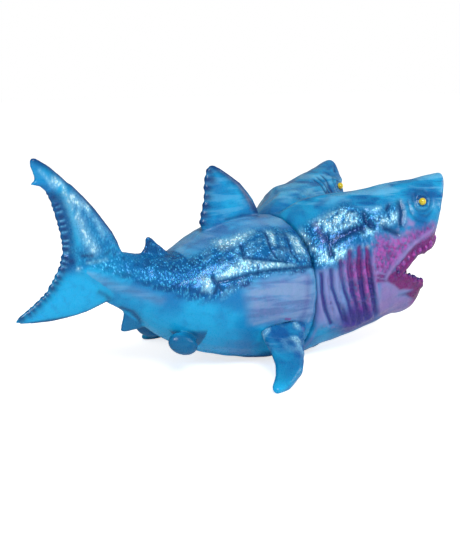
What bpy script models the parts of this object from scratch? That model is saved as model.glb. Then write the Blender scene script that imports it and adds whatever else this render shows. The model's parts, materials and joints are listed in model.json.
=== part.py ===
# Two-headed shark figurine in soft vinyl, resting on its belly and its two pectoral fins.
# Four mouldings: the body with its tail and back fins, the two-headed front that plugs into
# the body's collar, and two pectoral fins that plug into the flanks.
# X runs from tail to heads, Z is up, and the figure stands on Z = 0 with the collar at X = 0.

import bpy
import bmesh
from math import cos, pi, radians, sin
from mathutils import Matrix, Vector

MM = 0.001
WELD = 0.000002               # points closer than this after a cut are one point

# Driving dimensions, in millimetres unless a name says degrees.
COLLAR_HEIGHT = 75.4          # body height where the front moulding meets it
COLLAR_WIDTH = 73.2           # body width there
BODY_LENGTH = 124.0           # collar to the thin end of the tail stock
TAIL_TOP = 112.1              # tip of the tail fin's upper lobe
TAIL_LOW = 36.4               # tip of its lower lobe
DORSAL_TOP = 102.8            # tip of the first back fin
REAR_DORSAL_TOP = 70.6        # tip of the second, small one
ANAL_FIN_TIP = 25.2           # tip of the small fin under the tail stock
PECTORAL_SPAN = 45.6          # pectoral fin from its seat to its tip
JAW_REACH = 96.0              # from the neck pivot to the front of the lower jaw
JAW_SET_BACK = 12.2           # how far the lower jaw lies behind the snout
HEAD_REACH = JAW_REACH + JAW_SET_BACK
NECK_PIVOT_BACK = 19.0        # where the two head lines cross, behind the collar
HEAD_YAW_DEG = 24.1           # how far each head turns out from the body line
EYE_SET_BACK = 15.7           # how far the eye lies behind the snout
EYE_HEIGHT = 82.0
EYE_RADIUS = 2.3
EYE_STAND = 1.6               # how far the bead stands out of the skin
TOOTH_RADIUS = 1.5
TOOTH_LENGTH = 3.4
UPPER_TEETH = 11
LOWER_TEETH = 9
GUM_RADIUS = 2.5
GUM_INSET = 2.0               # how far the middle of a gum lies inside the skin
GUM_START = 1.5               # the gums begin this far ahead of the corner of the mouth
GUM_STEPS = 8
GILL_COUNT = 5
GILL_PITCH = 5.6              # spacing of the gill slits along the head
GILL_TO_MOUTH = 8.4           # from the front slit to the corner of the mouth
GILL_WIDTH = 1.7
GILL_DEPTH = 1.8
GILL_LOW = 24.0               # heights of the ends of the front slit
GILL_HIGH = 59.5
GILL_LOW_STEP = 1.2           # how much lower the ends of each slit behind it lie
GILL_HIGH_STEP = 1.5
GILL_LEAN = 7.0               # how far the foot of a slit lies ahead of its top
GILL_BOW = 1.4                # how far its middle bows backwards
GILL_END_LIFT = 0.25          # the cutter leaves the skin at both ends
GILL_OUTSIDE = 3.0            # how far the cutter stands outside the skin
PLUG_RADIUS = 24.0            # round plug of the front moulding
PLUG_LENGTH = 9.0
PLUG_ROOT = 6.0               # how far the plug runs on inside the front moulding
PECTORAL_BACK = 14.0          # where the root of a pectoral fin lies: behind the collar,
PECTORAL_HEIGHT = 20.0        # above the ground
PECTORAL_SINK = 3.6           # and inside the body's widest line
PECTORAL_PLUG_RADIUS = 4.5
PECTORAL_PLUG_LENGTH = 7.0
PECTORAL_PLUG_ROOT = 6.0      # how far the plug runs on inside the fin
PECTORAL_PLUG_SET_BACK = 3.0  # how far it lies behind the blade's middle
SEAT_GAP = 0.3                # clearance between mouldings
ROOM = BODY_LENGTH + HEAD_REACH    # cutting boxes reach past everything
GAPE_OVERRUN = 6.0            # the wedge that opens the mouth ends this far past the snout,
GAPE_DROP = 2.0               # this far below the lower lip
GAPE_RISE = 1.0               # and this far above the upper lip
GAPE_HALF_WIDTH = 40.0
TRUNK_RINGS = 30
TRUNK_SIDES = 28
SKIRT_RINGS = 12
FLARE_RINGS = 12
HEAD_RINGS = 29
HEAD_SIDES = 24

COLLAR_CENTRE = COLLAR_HEIGHT / 2 - 0.6
DORSAL_ROOT = 66.0            # the roots lie inside the body
REAR_DORSAL_ROOT = 57.0
ANAL_FIN_ROOT = 44.0
GROUND_SINK = 1.0             # how far the round belly would dip below its flat

# One cross-section of a skin: where it lies, its top, bottom and widest heights, its
# half-width, and how full the upper and lower halves are (2 is an ellipse).
# Trunk sections run from the tail stock to just inside the front moulding.
TRUNK = [
    (-1.000 * BODY_LENGTH, 63.4, 57.0, 61.0, 1.0, 1.6, 1.6),
    (-0.952 * BODY_LENGTH, 64.4, 53.6, 59.4, 3.4, 1.4, 1.4),
    (-0.903 * BODY_LENGTH, 66.2, 48.6, 58.0, 4.8, 1.3, 1.3),
    (-0.839 * BODY_LENGTH, 67.0, 42.5, 56.0, 6.2, 1.3, 1.3),
    (-0.766 * BODY_LENGTH, 65.4, 37.0, 53.5, 8.6, 1.4, 1.5),
    (-0.685 * BODY_LENGTH, 63.2, 29.2, 48.5, 11.6, 1.7, 1.8),
    (-0.605 * BODY_LENGTH, 61.6, 21.4, 45.0, 15.5, 1.9, 2.0),
    (-0.524 * BODY_LENGTH, 61.2, 15.0, 42.5, 20.4, 1.9, 2.1),
    (-0.444 * BODY_LENGTH, 65.2, 10.2, 41.0, 25.8, 2.0, 2.1),
    (-0.347 * BODY_LENGTH, 71.0, 6.2, 40.0, 30.8, 2.0, 2.1),
    (-0.234 * BODY_LENGTH, 74.8, 2.6, 39.5, 34.2, 2.0, 2.1),
    (-0.121 * BODY_LENGTH, 75.8, -0.2, 38.5, 36.1, 2.0, 2.1),
    (0.0, COLLAR_HEIGHT - GROUND_SINK, -GROUND_SINK, 37.5, COLLAR_WIDTH / 2, 2.0, 2.1),
    (8.0, COLLAR_HEIGHT - 1.9, -GROUND_SINK, 37.0, COLLAR_WIDTH / 2, 2.0, 2.1),
]
# Skirt sections run on from the collar and close the fork between the two necks.
SKIRT = [
    (-2.0, COLLAR_HEIGHT - GROUND_SINK, -GROUND_SINK, 37.5, COLLAR_WIDTH / 2, 2.0, 2.1),
    (4.0, COLLAR_HEIGHT + 0.2, -GROUND_SINK, 37.5, COLLAR_WIDTH / 2 - 0.2, 2.0, 2.1),
    (12.0, COLLAR_HEIGHT + 1.0, -GROUND_SINK, 38.0, COLLAR_WIDTH / 2 - 1.6, 2.1, 2.1),
    (22.0, COLLAR_HEIGHT + 0.2, -0.4, 38.5, COLLAR_WIDTH / 2 - 6.6, 2.1, 2.1),
    (32.0, COLLAR_HEIGHT - 6.0, 6.0, 40.0, 19.0, 2.0, 2.0),
    (39.0, COLLAR_HEIGHT - 16.0, 17.0, 41.0, 7.0, 2.0, 2.0),
]
# Flare sections hold the necks to the collar's outline at the seam and let them swell out.
FLARE = [
    (-30.0, COLLAR_HEIGHT - 1.5, -0.6, 37.5, COLLAR_WIDTH / 2 - 0.5, 2.0, 2.1),
    (0.0, COLLAR_HEIGHT - 1.5, -0.6, 37.5, COLLAR_WIDTH / 2 - 0.5, 2.0, 2.1),
    (1.6, COLLAR_HEIGHT + 1.0, -GROUND_SINK, 37.5, COLLAR_WIDTH / 2 + 1.6, 2.0, 2.1),
    (6.0, COLLAR_HEIGHT + 4.4, -GROUND_SINK, 37.5, COLLAR_WIDTH / 2 + 4.6, 2.1, 2.1),
    (14.0, COLLAR_HEIGHT + 9.0, -2.0, 37.5, COLLAR_WIDTH / 2 + 9.0, 2.2, 2.2),
    (30.0, COLLAR_HEIGHT + 20.0, -4.0, 37.5, COLLAR_WIDTH / 2 + 20.0, 2.4, 2.4),
    (120.0, COLLAR_HEIGHT + 70.0, -30.0, 37.5, COLLAR_WIDTH / 2 + 70.0, 2.4, 2.4),
]
# Head sections run from inside the collar to the snout, along one head's own line.
HEAD = [
    (0.042 * JAW_REACH, 71.5, 4.0, 38.0, 22.0, 2.0, 2.0),
    (0.208 * JAW_REACH, 76.4, -1.0, 38.5, 25.8, 2.2, 2.1),
    (0.292 * JAW_REACH, 81.2, 0.6, 40.0, 26.4, 2.3, 2.2),
    (0.375 * JAW_REACH, 84.2, 4.2, 41.5, 26.4, 2.3, 2.2),
    (0.500 * JAW_REACH, 86.2, 8.0, 43.5, 25.8, 2.2, 2.2),
    (0.625 * JAW_REACH, 87.2, 12.0, 46.0, 25.0, 2.0, 2.2),
    (0.729 * JAW_REACH, 89.2, 15.4, 50.0, 23.4, 1.9, 2.2),
    (0.823 * JAW_REACH, 91.0, 19.4, 54.0, 21.2, 1.8, 2.2),
    (0.885 * JAW_REACH, 91.8, 19.6, 57.0, 19.4, 1.8, 2.2),
    (0.938 * JAW_REACH, 92.4, 21.6, 60.0, 17.8, 1.9, 2.2),
    (0.975 * JAW_REACH, 93.0, 25.4, 62.0, 16.4, 1.9, 2.2),
    (JAW_REACH + 0.033 * JAW_SET_BACK, 93.6, 34.0, 64.0, 15.4, 1.9, 2.2),
    (JAW_REACH + 0.295 * JAW_SET_BACK, 94.4, 50.0, 68.0, 13.4, 1.9, 2.2),
    (JAW_REACH + 0.525 * JAW_SET_BACK, 95.0, 59.0, 73.0, 11.2, 1.9, 2.0),
    (JAW_REACH + 0.721 * JAW_SET_BACK, 95.4, 69.0, 79.0, 8.8, 1.9, 2.0),
    (JAW_REACH + 0.918 * JAW_SET_BACK, 95.4, 77.0, 86.0, 5.8, 2.0, 2.0),
    (JAW_REACH + 1.000 * JAW_SET_BACK, 94.0, 83.0, 89.0, 3.0, 2.0, 2.0),
]
# The open mouth in profile: the roof line and the floor line, from the corner forwards.
MOUTH_CORNER = (0.740 * JAW_REACH, 42.5)
MOUTH_ROOF = [
    (0.833 * JAW_REACH, 47.0),
    (0.875 * JAW_REACH, 51.8),
    (0.922 * JAW_REACH, 56.2),
    (0.990 * JAW_REACH, 57.6),
    (JAW_REACH + 0.410 * JAW_SET_BACK, 60.6),
]
MOUTH_FLOOR = [
    (0.833 * JAW_REACH, 42.6),
    (0.875 * JAW_REACH, 42.4),
    (0.927 * JAW_REACH, 39.4),
    (0.979 * JAW_REACH, 36.6),
    (1.000 * JAW_REACH, 34.8),
]
# Hollows scooped out behind the gums: how far ahead of the corner the middle lies and how
# high, the three radii, and the pitch in degrees.
GAPE_DEPTH = JAW_REACH - MOUTH_CORNER[0]
PALATE = (0.541 * GAPE_DEPTH, 56.0, 0.521 * GAPE_DEPTH, 9.6, 8.6, -32.0)
TONGUE_BED = (0.521 * GAPE_DEPTH, 37.2, 0.361 * GAPE_DEPTH, 8.0, 6.4, 8.0)
THROAT = (0.060 * GAPE_DEPTH, 44.5, 0.561 * GAPE_DEPTH, 8.4, 7.0, 0.0)
UPPER_TOOTH_WAY = Vector((0.35, 0.0, -0.94))
LOWER_TOOTH_WAY = Vector((0.1, 0.0, 1.0))

# Fin sections from the root to the tip: the share of the rise (or of the span), the leading
# edge, the trailing edge and half the thickness. The edges of the tail, rear dorsal and anal
# fins are measured forwards from the end of the tail stock.
TAIL_FIN = [
    (0.000, -6.0, -10.0, 0.6),
    (0.011, 5.0, -21.6, 1.2),
    (0.026, 12.0, -25.2, 1.6),
    (0.055, 19.0, -23.6, 2.2),
    (0.087, 26.0, -19.4, 2.8),
    (0.127, 32.0, -14.8, 3.2),
    (0.185, 34.0, -9.2, 3.5),
    (0.254, 34.0, -5.6, 3.6),
    (0.336, 32.0, -1.9, 3.6),
    (0.424, 29.4, -0.2, 3.5),
    (0.510, 26.0, -0.8, 3.3),
    (0.589, 21.4, -2.2, 3.1),
    (0.668, 16.8, -3.9, 2.9),
    (0.748, 11.2, -5.9, 2.6),
    (0.801, 6.8, -8.0, 2.4),
    (0.830, 4.3, -10.4, 2.2),
    (0.845, 2.9, -15.3, 2.1),
    (0.867, 1.2, -12.8, 2.0),
    (0.906, -2.2, -13.4, 1.8),
    (0.947, -5.9, -14.6, 1.6),
    (0.983, -10.4, -14.8, 1.2),
    (1.000, -12.8, -14.0, 0.7),
]
DORSAL_FIN = [
    (0.000, -8.0, -45.0, 5.0),
    (0.234, -9.8, -47.2, 4.6),
    (0.359, -11.8, -46.2, 4.0),
    (0.489, -14.4, -45.0, 3.5),
    (0.598, -17.8, -44.3, 3.1),
    (0.728, -22.4, -44.6, 2.7),
    (0.853, -29.2, -44.0, 2.3),
    (0.951, -35.0, -42.8, 1.7),
    (1.000, -38.8, -40.8, 1.0),
]
REAR_DORSAL_FIN = [
    (0.000, 59.0, 40.4, 2.6),
    (0.397, 56.6, 41.4, 2.2),
    (0.588, 53.2, 43.6, 1.8),
    (0.779, 50.0, 44.6, 1.5),
    (0.941, 47.6, 44.8, 1.1),
    (1.000, 46.4, 45.4, 0.6),
]
ANAL_FIN = [
    (-0.000, 49.5, 33.5, 3.0),
    (0.372, 49.5, 32.1, 2.8),
    (0.638, 48.5, 31.1, 2.4),
    (0.830, 45.9, 29.9, 1.9),
    (0.957, 42.5, 29.5, 1.4),
    (1.000, 33.9, 30.5, 0.7),
]
PECTORAL_FIN = [
    (-0.219, 6.4, -19.6, 6.0),
    (0.066, 6.8, -18.6, 5.4),
    (0.263, 8.2, -13.4, 4.8),
    (0.425, 9.3, -8.2, 4.2),
    (0.592, 9.4, -4.4, 3.7),
    (0.746, 7.6, -2.9, 3.2),
    (0.855, 5.4, -3.0, 2.8),
    (0.934, 3.0, -3.2, 2.3),
    (0.982, 1.2, -2.6, 1.6),
    (1.000, 0.0, -1.4, 0.8),
]
# Swell of a fin across its chord: the share of the chord and of the half thickness.
FIN_SWELL = [
    (0.0, 0.22), (0.05, 0.62), (0.18, 0.92), (0.42, 1.0), (0.7, 0.82), (0.93, 0.5), (1.0, 0.2),
]
PECTORAL_SEAT = Vector((-PECTORAL_BACK, PECTORAL_SINK - COLLAR_WIDTH / 2, PECTORAL_HEIGHT))
PECTORAL_RUN = Vector((-31.5, -28.0, -19.4))    # from the seat towards the tip
PELVIC_CENTRE = Vector((-0.5524 * BODY_LENGTH, -15.5, 18.6))
PELVIC_SIZE = Vector((8.8, 4.2, 5.4))
PELVIC_PITCH_DEG = 24.0
PELVIC_LEFT_LIFT = 2.5        # the left one sits a little higher

for old in list(bpy.data.objects):
    bpy.data.objects.remove(old, do_unlink=True)

parts = bpy.data.collections.new("two_headed_shark")
bpy.context.scene.collection.children.link(parts)
cutters = bpy.data.collections.new("cutters")
bpy.context.scene.collection.children.link(cutters)


def material(name, colour, roughness, metallic):
    made = bpy.data.materials.new(name)
    made.use_nodes = True
    shader = made.node_tree.nodes["Principled BSDF"]
    shader.inputs["Base Color"].default_value = (*colour, 1.0)
    shader.inputs["Roughness"].default_value = roughness
    shader.inputs["Metallic"].default_value = metallic
    return made


def add_object(name, bm, collection=parts):
    bmesh.ops.recalc_face_normals(bm, faces=bm.faces)
    if bm.calc_volume(signed=True) < 0:
        bmesh.ops.reverse_faces(bm, faces=bm.faces)
    mesh = bpy.data.meshes.new(name)
    bm.to_mesh(mesh)
    bm.free()
    made = bpy.data.objects.new(name, mesh)
    collection.objects.link(made)
    if collection is cutters:
        made.hide_render = True
        made.display_type = "WIRE"
    return made


def weld(piece):
    """Closes the hairline slivers that a cut can leave."""
    bm = bmesh.new()
    bm.from_mesh(piece.data)
    bmesh.ops.remove_doubles(bm, verts=bm.verts, dist=WELD)
    bmesh.ops.dissolve_degenerate(bm, edges=bm.edges, dist=WELD)
    bm.to_mesh(piece.data)
    bm.free()


def combine(base, others, operation):
    """Joins the other solids to the base or cuts them from it, and removes them."""
    for other in others:
        step = base.modifiers.new(operation.lower(), "BOOLEAN")
        step.operation = operation
        step.solver = "EXACT"
        step.object = other
        bpy.context.view_layer.objects.active = base
        bpy.ops.object.modifier_apply(modifier=step.name)
        bpy.data.objects.remove(other, do_unlink=True)
        weld(base)


def section_at(stations, along):
    """A section between two stations, on a smooth curve through all of them."""
    last = len(stations) - 2
    i = 0
    while i < last and along > stations[i + 1][0]:
        i += 1
    before = stations[max(i - 1, 0)]
    start, end = stations[i], stations[i + 1]
    after = stations[min(i + 2, last + 1)]
    span = end[0] - start[0]
    t = (along - start[0]) / span
    values = [along]
    for k in range(1, len(start)):
        in_slope = (end[k] - before[k]) / (end[0] - before[0]) * span
        out_slope = (after[k] - start[k]) / (after[0] - start[0]) * span
        values.append(
            (2 * t**3 - 3 * t**2 + 1) * start[k]
            + (t**3 - 2 * t**2 + t) * in_slope
            + (-2 * t**3 + 3 * t**2) * end[k]
            + (t**3 - t**2) * out_slope
        )
    return values


def ring(section, sides, grow=0.0):
    """The points of one section as (along, sideways, height)."""
    along, top, bottom, widest, half_width, upper, lower = section
    points = []
    for k in range(sides):
        angle = 2 * pi * k / sides
        side, up = sin(angle), cos(angle)
        fullness = upper if up >= 0 else lower
        reach = (top - widest if up >= 0 else widest - bottom) + grow
        y = (half_width + grow) * abs(side) ** (2 / fullness) * (1 if side >= 0 else -1)
        z = widest + reach * abs(up) ** (2 / fullness) * (1 if up >= 0 else -1)
        points.append(Vector((along, y, z)))
    return points


def half_width_at(stations, along, height):
    """How far the skin lies from the middle plane at one place."""
    _, top, bottom, widest, half_width, upper, lower = section_at(stations, along)
    above = height >= widest
    reach = top - widest if above else widest - bottom
    fullness = upper if above else lower
    share = min(abs(height - widest) / reach, 1.0)
    return half_width * (1 - share**fullness) ** (1 / fullness)


def spread(stations, count):
    """Ring places, closer together where the stations are."""
    steps = len(stations) - 1
    places = []
    for n in range(count + 1):
        t = steps * n / count
        i = min(int(t), steps - 1)
        places.append(stations[i][0] + (t - i) * (stations[i + 1][0] - stations[i][0]))
    return places


def skin(name, rows, collection, place):
    """A closed skin over rows of points, since no primitive joins unlike sections."""
    bm = bmesh.new()
    made = [[bm.verts.new(place @ (point * MM)) for point in row] for row in rows]
    count = len(rows[0])
    for near, far in zip(made, made[1:]):
        for k in range(count):
            bm.faces.new((near[k], near[(k + 1) % count], far[(k + 1) % count], far[k]))
    bm.faces.new(made[0])
    bm.faces.new(made[-1])
    return add_object(name, bm, collection)


def loft(name, stations, rings, sides, collection=parts, grow=0.0, place=Matrix.Identity(4)):
    """A smooth closed skin through the stations."""
    places = spread(stations, rings)
    rows = [ring(section_at(stations, along), sides, grow) for along in places]
    return skin(name, rows, collection, place)


def fin(name, sections, root, tip, ahead=0.0, place=Matrix.Identity(4)):
    """A blade from root to tip height, each section swelling between its two edges."""
    rows = []
    for rise, lead, trail, half in sections:
        height = root + (tip - root) * rise
        near = [
            Vector((ahead + lead + (trail - lead) * share, -half * swell, height))
            for share, swell in FIN_SWELL
        ]
        rows.append(near + [Vector((p.x, -p.y, p.z)) for p in reversed(near)])
    return skin(name, rows, cutters, place)


def box(name, low, high):
    bm = bmesh.new()
    bmesh.ops.create_cube(bm, size=1.0)
    centre = (Vector(low) + Vector(high)) / 2 * MM
    size = (Vector(high) - Vector(low)) * MM
    bmesh.ops.scale(bm, vec=size, verts=bm.verts)
    bmesh.ops.translate(bm, vec=centre, verts=bm.verts)
    return add_object(name, bm, cutters)


def cylinder(name, start, end, radius, sides=32):
    """A round bar between two points."""
    bm = bmesh.new()
    start, end = Vector(start) * MM, Vector(end) * MM
    bmesh.ops.create_cone(
        bm, cap_ends=True, segments=sides, radius1=radius * MM, radius2=radius * MM,
        depth=(end - start).length,
    )
    turn = (end - start).to_track_quat("Z", "Y").to_matrix().to_4x4()
    bmesh.ops.transform(bm, matrix=Matrix.Translation((start + end) / 2) @ turn, verts=bm.verts)
    return add_object(name, bm, cutters)


def ball(name, centre, radii, pitch_degrees=0.0, rings=10, place=Matrix.Identity(4)):
    """An ellipsoid, tipped about the sideways axis."""
    bm = bmesh.new()
    bmesh.ops.create_uvsphere(bm, u_segments=2 * rings, v_segments=rings, radius=1.0)
    bmesh.ops.scale(bm, vec=Vector(radii) * MM, verts=bm.verts)
    turn = Matrix.Rotation(radians(pitch_degrees), 4, "Y")
    move = Matrix.Translation(Vector(centre) * MM)
    bmesh.ops.transform(bm, matrix=place @ move @ turn, verts=bm.verts)
    return add_object(name, bm, cutters)


def mirrored(source, name):
    """The same solid on the other side of the body line."""
    bm = bmesh.new()
    bm.from_mesh(source.data)
    bmesh.ops.scale(bm, vec=(1, -1, 1), verts=bm.verts)
    bmesh.ops.reverse_faces(bm, faces=bm.faces)
    return add_object(name, bm, source.users_collection[0])


def head_place():
    """Right head's line: from the neck pivot, turned out to the shark's right."""
    return Matrix.Translation((-NECK_PIVOT_BACK * MM, 0, 0)) @ Matrix.Rotation(
        -radians(HEAD_YAW_DEG), 4, "Z"
    )


def profile_cutter(name, outline, half_depth, place):
    """A wedge with the outline in profile, as wide as the head."""
    bm = bmesh.new()
    rim = [bm.verts.new((x * MM, -half_depth * MM, z * MM)) for x, z in outline]
    face = bm.faces.new(rim)
    wall = bmesh.ops.extrude_face_region(bm, geom=[face])
    moved = [v for v in wall["geom"] if isinstance(v, bmesh.types.BMVert)]
    bmesh.ops.translate(bm, vec=(0, 2 * half_depth * MM, 0), verts=moved)
    bmesh.ops.transform(bm, matrix=place, verts=bm.verts)
    return add_object(name, bm, cutters)


def line_height(line, along):
    """Height of a lip line at one place."""
    for (x0, z0), (x1, z1) in zip(line, line[1:]):
        if along <= x1:
            return z0 + (z1 - z0) * (along - x0) / (x1 - x0)
    return line[-1][1]


def lip_route(line, reach):
    """Points round the U of one jaw, from the left corner over the front to the right."""
    start = MOUTH_CORNER[0] + GUM_START
    full = [MOUTH_CORNER] + line
    side = []
    for n in range(GUM_STEPS):
        along = start + (reach - start) * sin(pi / 2 * n / GUM_STEPS)
        height = line_height(full, along)
        sideways = max(half_width_at(HEAD, along, height) - GUM_INSET, 0.0)
        side.append(Vector((along, sideways, height)))
    front = Vector((reach, 0.0, line_height(full, reach)))
    return side + [front] + [Vector((p.x, -p.y, p.z)) for p in reversed(side)]


def tube(name, route, radius, place):
    """A round rail through the points, from a curve with welded caps."""
    curve = bpy.data.curves.new(name, "CURVE")
    curve.dimensions = "3D"
    curve.bevel_depth = radius * MM
    curve.bevel_resolution = 1
    curve.use_fill_caps = True
    spline = curve.splines.new("POLY")
    spline.points.add(len(route) - 1)
    for point, place_on_route in zip(spline.points, route):
        point.co = (*(place @ (place_on_route * MM)), 1.0)
    drawn = bpy.data.objects.new(name, curve)
    cutters.objects.link(drawn)
    bpy.context.view_layer.update()
    mesh = bpy.data.meshes.new_from_object(drawn.evaluated_get(bpy.context.evaluated_depsgraph_get()))
    bm = bmesh.new()
    bm.from_mesh(mesh)
    bmesh.ops.remove_doubles(bm, verts=bm.verts, dist=1e-6)
    bpy.data.objects.remove(drawn, do_unlink=True)
    return add_object(name, bm, cutters)


def teeth(name, route, count, direction, place):
    """Blunt six-sided pegs spaced evenly along a gum, smaller towards the corners."""
    bm = bmesh.new()
    lengths = [(b - a).length for a, b in zip(route, route[1:])]
    total = sum(lengths)
    for n in range(count):
        left = total * (0.14 + 0.72 * n / (count - 1))
        i = 0
        while left > lengths[i]:
            left -= lengths[i]
            i += 1
        root = route[i].lerp(route[i + 1], left / lengths[i])
        size = 0.75 + 0.3 * sin(pi * n / (count - 1)) + 0.08 * (n % 3 - 1)
        made = bmesh.ops.create_cone(
            bm, cap_ends=True, segments=6, radius1=TOOTH_RADIUS * size * MM,
            radius2=0.45 * TOOTH_RADIUS * size * MM, depth=TOOTH_LENGTH * size * MM,
        )
        turn = direction.to_track_quat("Z", "Y").to_matrix().to_4x4()
        shift = Matrix.Translation((root + direction * (GUM_RADIUS * 0.55)) * MM)
        bmesh.ops.transform(bm, matrix=place @ shift @ turn, verts=made["verts"])
    return add_object(name, bm, cutters)


def gill_cutter(name, index, place):
    """A thin crescent that leaves one curved slit in the outer flank of the head."""
    along = MOUTH_CORNER[0] - GILL_TO_MOUTH - index * GILL_PITCH
    low = GILL_LOW - GILL_LOW_STEP * index
    high = GILL_HIGH - GILL_HIGH_STEP * index
    steps = 8
    outline = []
    for n in range(steps + 1):
        t = -1 + 2 * n / steps
        height = (low + high) / 2 + t * (high - low) / 2
        place_along = along - GILL_LEAN * t / 2 - GILL_BOW * (1 - t * t)
        flank = half_width_at(HEAD, place_along, height)
        depth = GILL_DEPTH * (1 - t**4) - GILL_END_LIFT * t**4
        outline.append((place_along, flank - depth, flank + GILL_OUTSIDE, height))
    bm = bmesh.new()
    rims = []
    for shift in (-GILL_WIDTH / 2, GILL_WIDTH / 2):
        inner = [bm.verts.new(((x + shift) * MM, -a * MM, z * MM)) for x, a, _, z in outline]
        outer = [bm.verts.new(((x + shift) * MM, -b * MM, z * MM)) for x, _, b, z in outline]
        rims.append((inner, outer))
    for inner, outer in rims:
        for k in range(steps):
            bm.faces.new((inner[k], inner[k + 1], outer[k + 1], outer[k]))
    loops = [inner + outer[::-1] for inner, outer in rims]
    for k in range(len(loops[0])):
        bm.faces.new((loops[0][k - 1], loops[0][k], loops[1][k], loops[1][k - 1]))
    bmesh.ops.transform(bm, matrix=place, verts=bm.verts)
    return add_object(name, bm, cutters)


def ground():
    """Everything below the level that the figure stands on."""
    return box("ground", (-ROOM, -ROOM, -ROOM), (ROOM, ROOM, 0.0))


# Right head, mouth and all; the left one is its mirror image.
def build_head():
    place = head_place()
    head = loft("right_head", HEAD, HEAD_RINGS, HEAD_SIDES, cutters, place=place)
    reach = HEAD_REACH + GAPE_OVERRUN
    open_end = [(reach, MOUTH_FLOOR[-1][1] - GAPE_DROP), (reach, MOUTH_ROOF[-1][1] + GAPE_RISE)]
    wedge = [MOUTH_CORNER] + MOUTH_FLOOR + open_end + MOUTH_ROOF[::-1]
    combine(head, [profile_cutter("gape", wedge, GAPE_HALF_WIDTH, place)], "DIFFERENCE")
    hollows = []
    for name, hollow in (("palate", PALATE), ("tongue_bed", TONGUE_BED), ("throat", THROAT)):
        ahead, height, length, width, depth, pitch = hollow
        middle = (MOUTH_CORNER[0] + ahead, 0.0, height)
        hollows.append(ball(name, middle, (length, width, depth), pitch, 8, place))
    combine(head, hollows, "DIFFERENCE")
    upper = lip_route(MOUTH_ROOF, MOUTH_ROOF[-1][0])
    lower = lip_route(MOUTH_FLOOR, JAW_REACH - GUM_INSET)
    gums = [
        tube("upper_gum", upper, GUM_RADIUS, place),
        tube("lower_gum", lower, GUM_RADIUS, place),
    ]
    combine(head, gums, "UNION")
    fangs = [
        teeth("upper_teeth", upper, UPPER_TEETH, UPPER_TOOTH_WAY, place),
        teeth("lower_teeth", lower, LOWER_TEETH, LOWER_TOOTH_WAY, place),
    ]
    combine(head, fangs, "UNION")
    eye_reach = HEAD_REACH - EYE_SET_BACK
    sideways = half_width_at(HEAD, eye_reach, EYE_HEIGHT) + EYE_STAND - EYE_RADIUS
    radii = (EYE_RADIUS, EYE_RADIUS, EYE_RADIUS)
    eyes = [
        ball("outer_eye", (eye_reach, -sideways, EYE_HEIGHT), radii, rings=7, place=place),
        ball("inner_eye", (eye_reach, sideways, EYE_HEIGHT), radii, rings=7, place=place),
    ]
    combine(head, eyes, "UNION")
    gills = [gill_cutter("gill_%d" % n, n, place) for n in range(GILL_COUNT)]
    combine(head, gills, "DIFFERENCE")
    return head


def build_front():
    right = build_head()
    left = mirrored(right, "left_head")
    front = right
    combine(front, [left], "UNION")
    combine(front, [loft("flare", FLARE, FLARE_RINGS, TRUNK_SIDES, cutters)], "INTERSECT")
    combine(front, [loft("skirt", SKIRT, SKIRT_RINGS, TRUNK_SIDES, cutters)], "UNION")
    rear = box("behind_collar", (-ROOM, -ROOM, -ROOM), (SEAT_GAP, ROOM, ROOM))
    combine(front, [rear], "DIFFERENCE")
    plug_end = -(PLUG_LENGTH - SEAT_GAP)
    start, end = (plug_end, 0, COLLAR_CENTRE), (PLUG_ROOT, 0, COLLAR_CENTRE)
    plug = cylinder("plug", start, end, PLUG_RADIUS, 48)
    combine(front, [plug], "UNION")
    combine(front, [ground()], "DIFFERENCE")
    front.name = "two_headed_front"
    front.data.name = front.name
    cutters.objects.unlink(front)
    parts.objects.link(front)
    front.hide_render = False
    front.display_type = "TEXTURED"
    return front


def pectoral_frame():
    """Span runs from the seat to the tip, chord runs forwards along the blade."""
    span = PECTORAL_RUN.normalized()
    forward = Vector((1, 0, 0))
    chord = (forward - forward.dot(span) * span).normalized()
    normal = span.cross(chord)
    turn = Matrix((chord, normal, span)).transposed().to_4x4()
    return span, chord, Matrix.Translation(PECTORAL_SEAT * MM) @ turn


def build_body():
    body = loft("body", TRUNK, TRUNK_RINGS, TRUNK_SIDES)
    additions = [
        fin("tail_fin", TAIL_FIN, TAIL_LOW, TAIL_TOP, -BODY_LENGTH),
        fin("dorsal_fin", DORSAL_FIN, DORSAL_ROOT, DORSAL_TOP),
        fin("rear_dorsal_fin", REAR_DORSAL_FIN, REAR_DORSAL_ROOT, REAR_DORSAL_TOP, -BODY_LENGTH),
        fin("anal_fin", ANAL_FIN, ANAL_FIN_ROOT, ANAL_FIN_TIP, -BODY_LENGTH),
    ]
    for side, lift in ((1, 0.0), (-1, PELVIC_LEFT_LIFT)):
        centre = Vector((PELVIC_CENTRE.x, side * PELVIC_CENTRE.y, PELVIC_CENTRE.z + lift))
        additions.append(ball("pelvic_fin", centre, PELVIC_SIZE, PELVIC_PITCH_DEG, rings=8))
    combine(body, additions, "UNION")
    cuts = [box("past_collar", (0.0, -ROOM, -ROOM), (ROOM, ROOM, ROOM))]
    socket = PLUG_RADIUS + SEAT_GAP
    start, end = (-PLUG_LENGTH, 0, COLLAR_CENTRE), (PLUG_LENGTH, 0, COLLAR_CENTRE)
    cuts.append(cylinder("socket", start, end, socket, 48))
    cuts.append(ground())
    span, chord, _ = pectoral_frame()
    seat = PECTORAL_SEAT - chord * PECTORAL_PLUG_SET_BACK
    for side in (1, -1):
        flip = Vector((1, side, 1))
        start = (seat + span * 2 * PECTORAL_PLUG_ROOT) * flip
        end = (seat - span * (PECTORAL_PLUG_LENGTH + SEAT_GAP)) * flip
        cuts.append(cylinder("fin_socket", start, end, PECTORAL_PLUG_RADIUS + SEAT_GAP, 20))
    combine(body, cuts, "DIFFERENCE")
    return body


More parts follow.
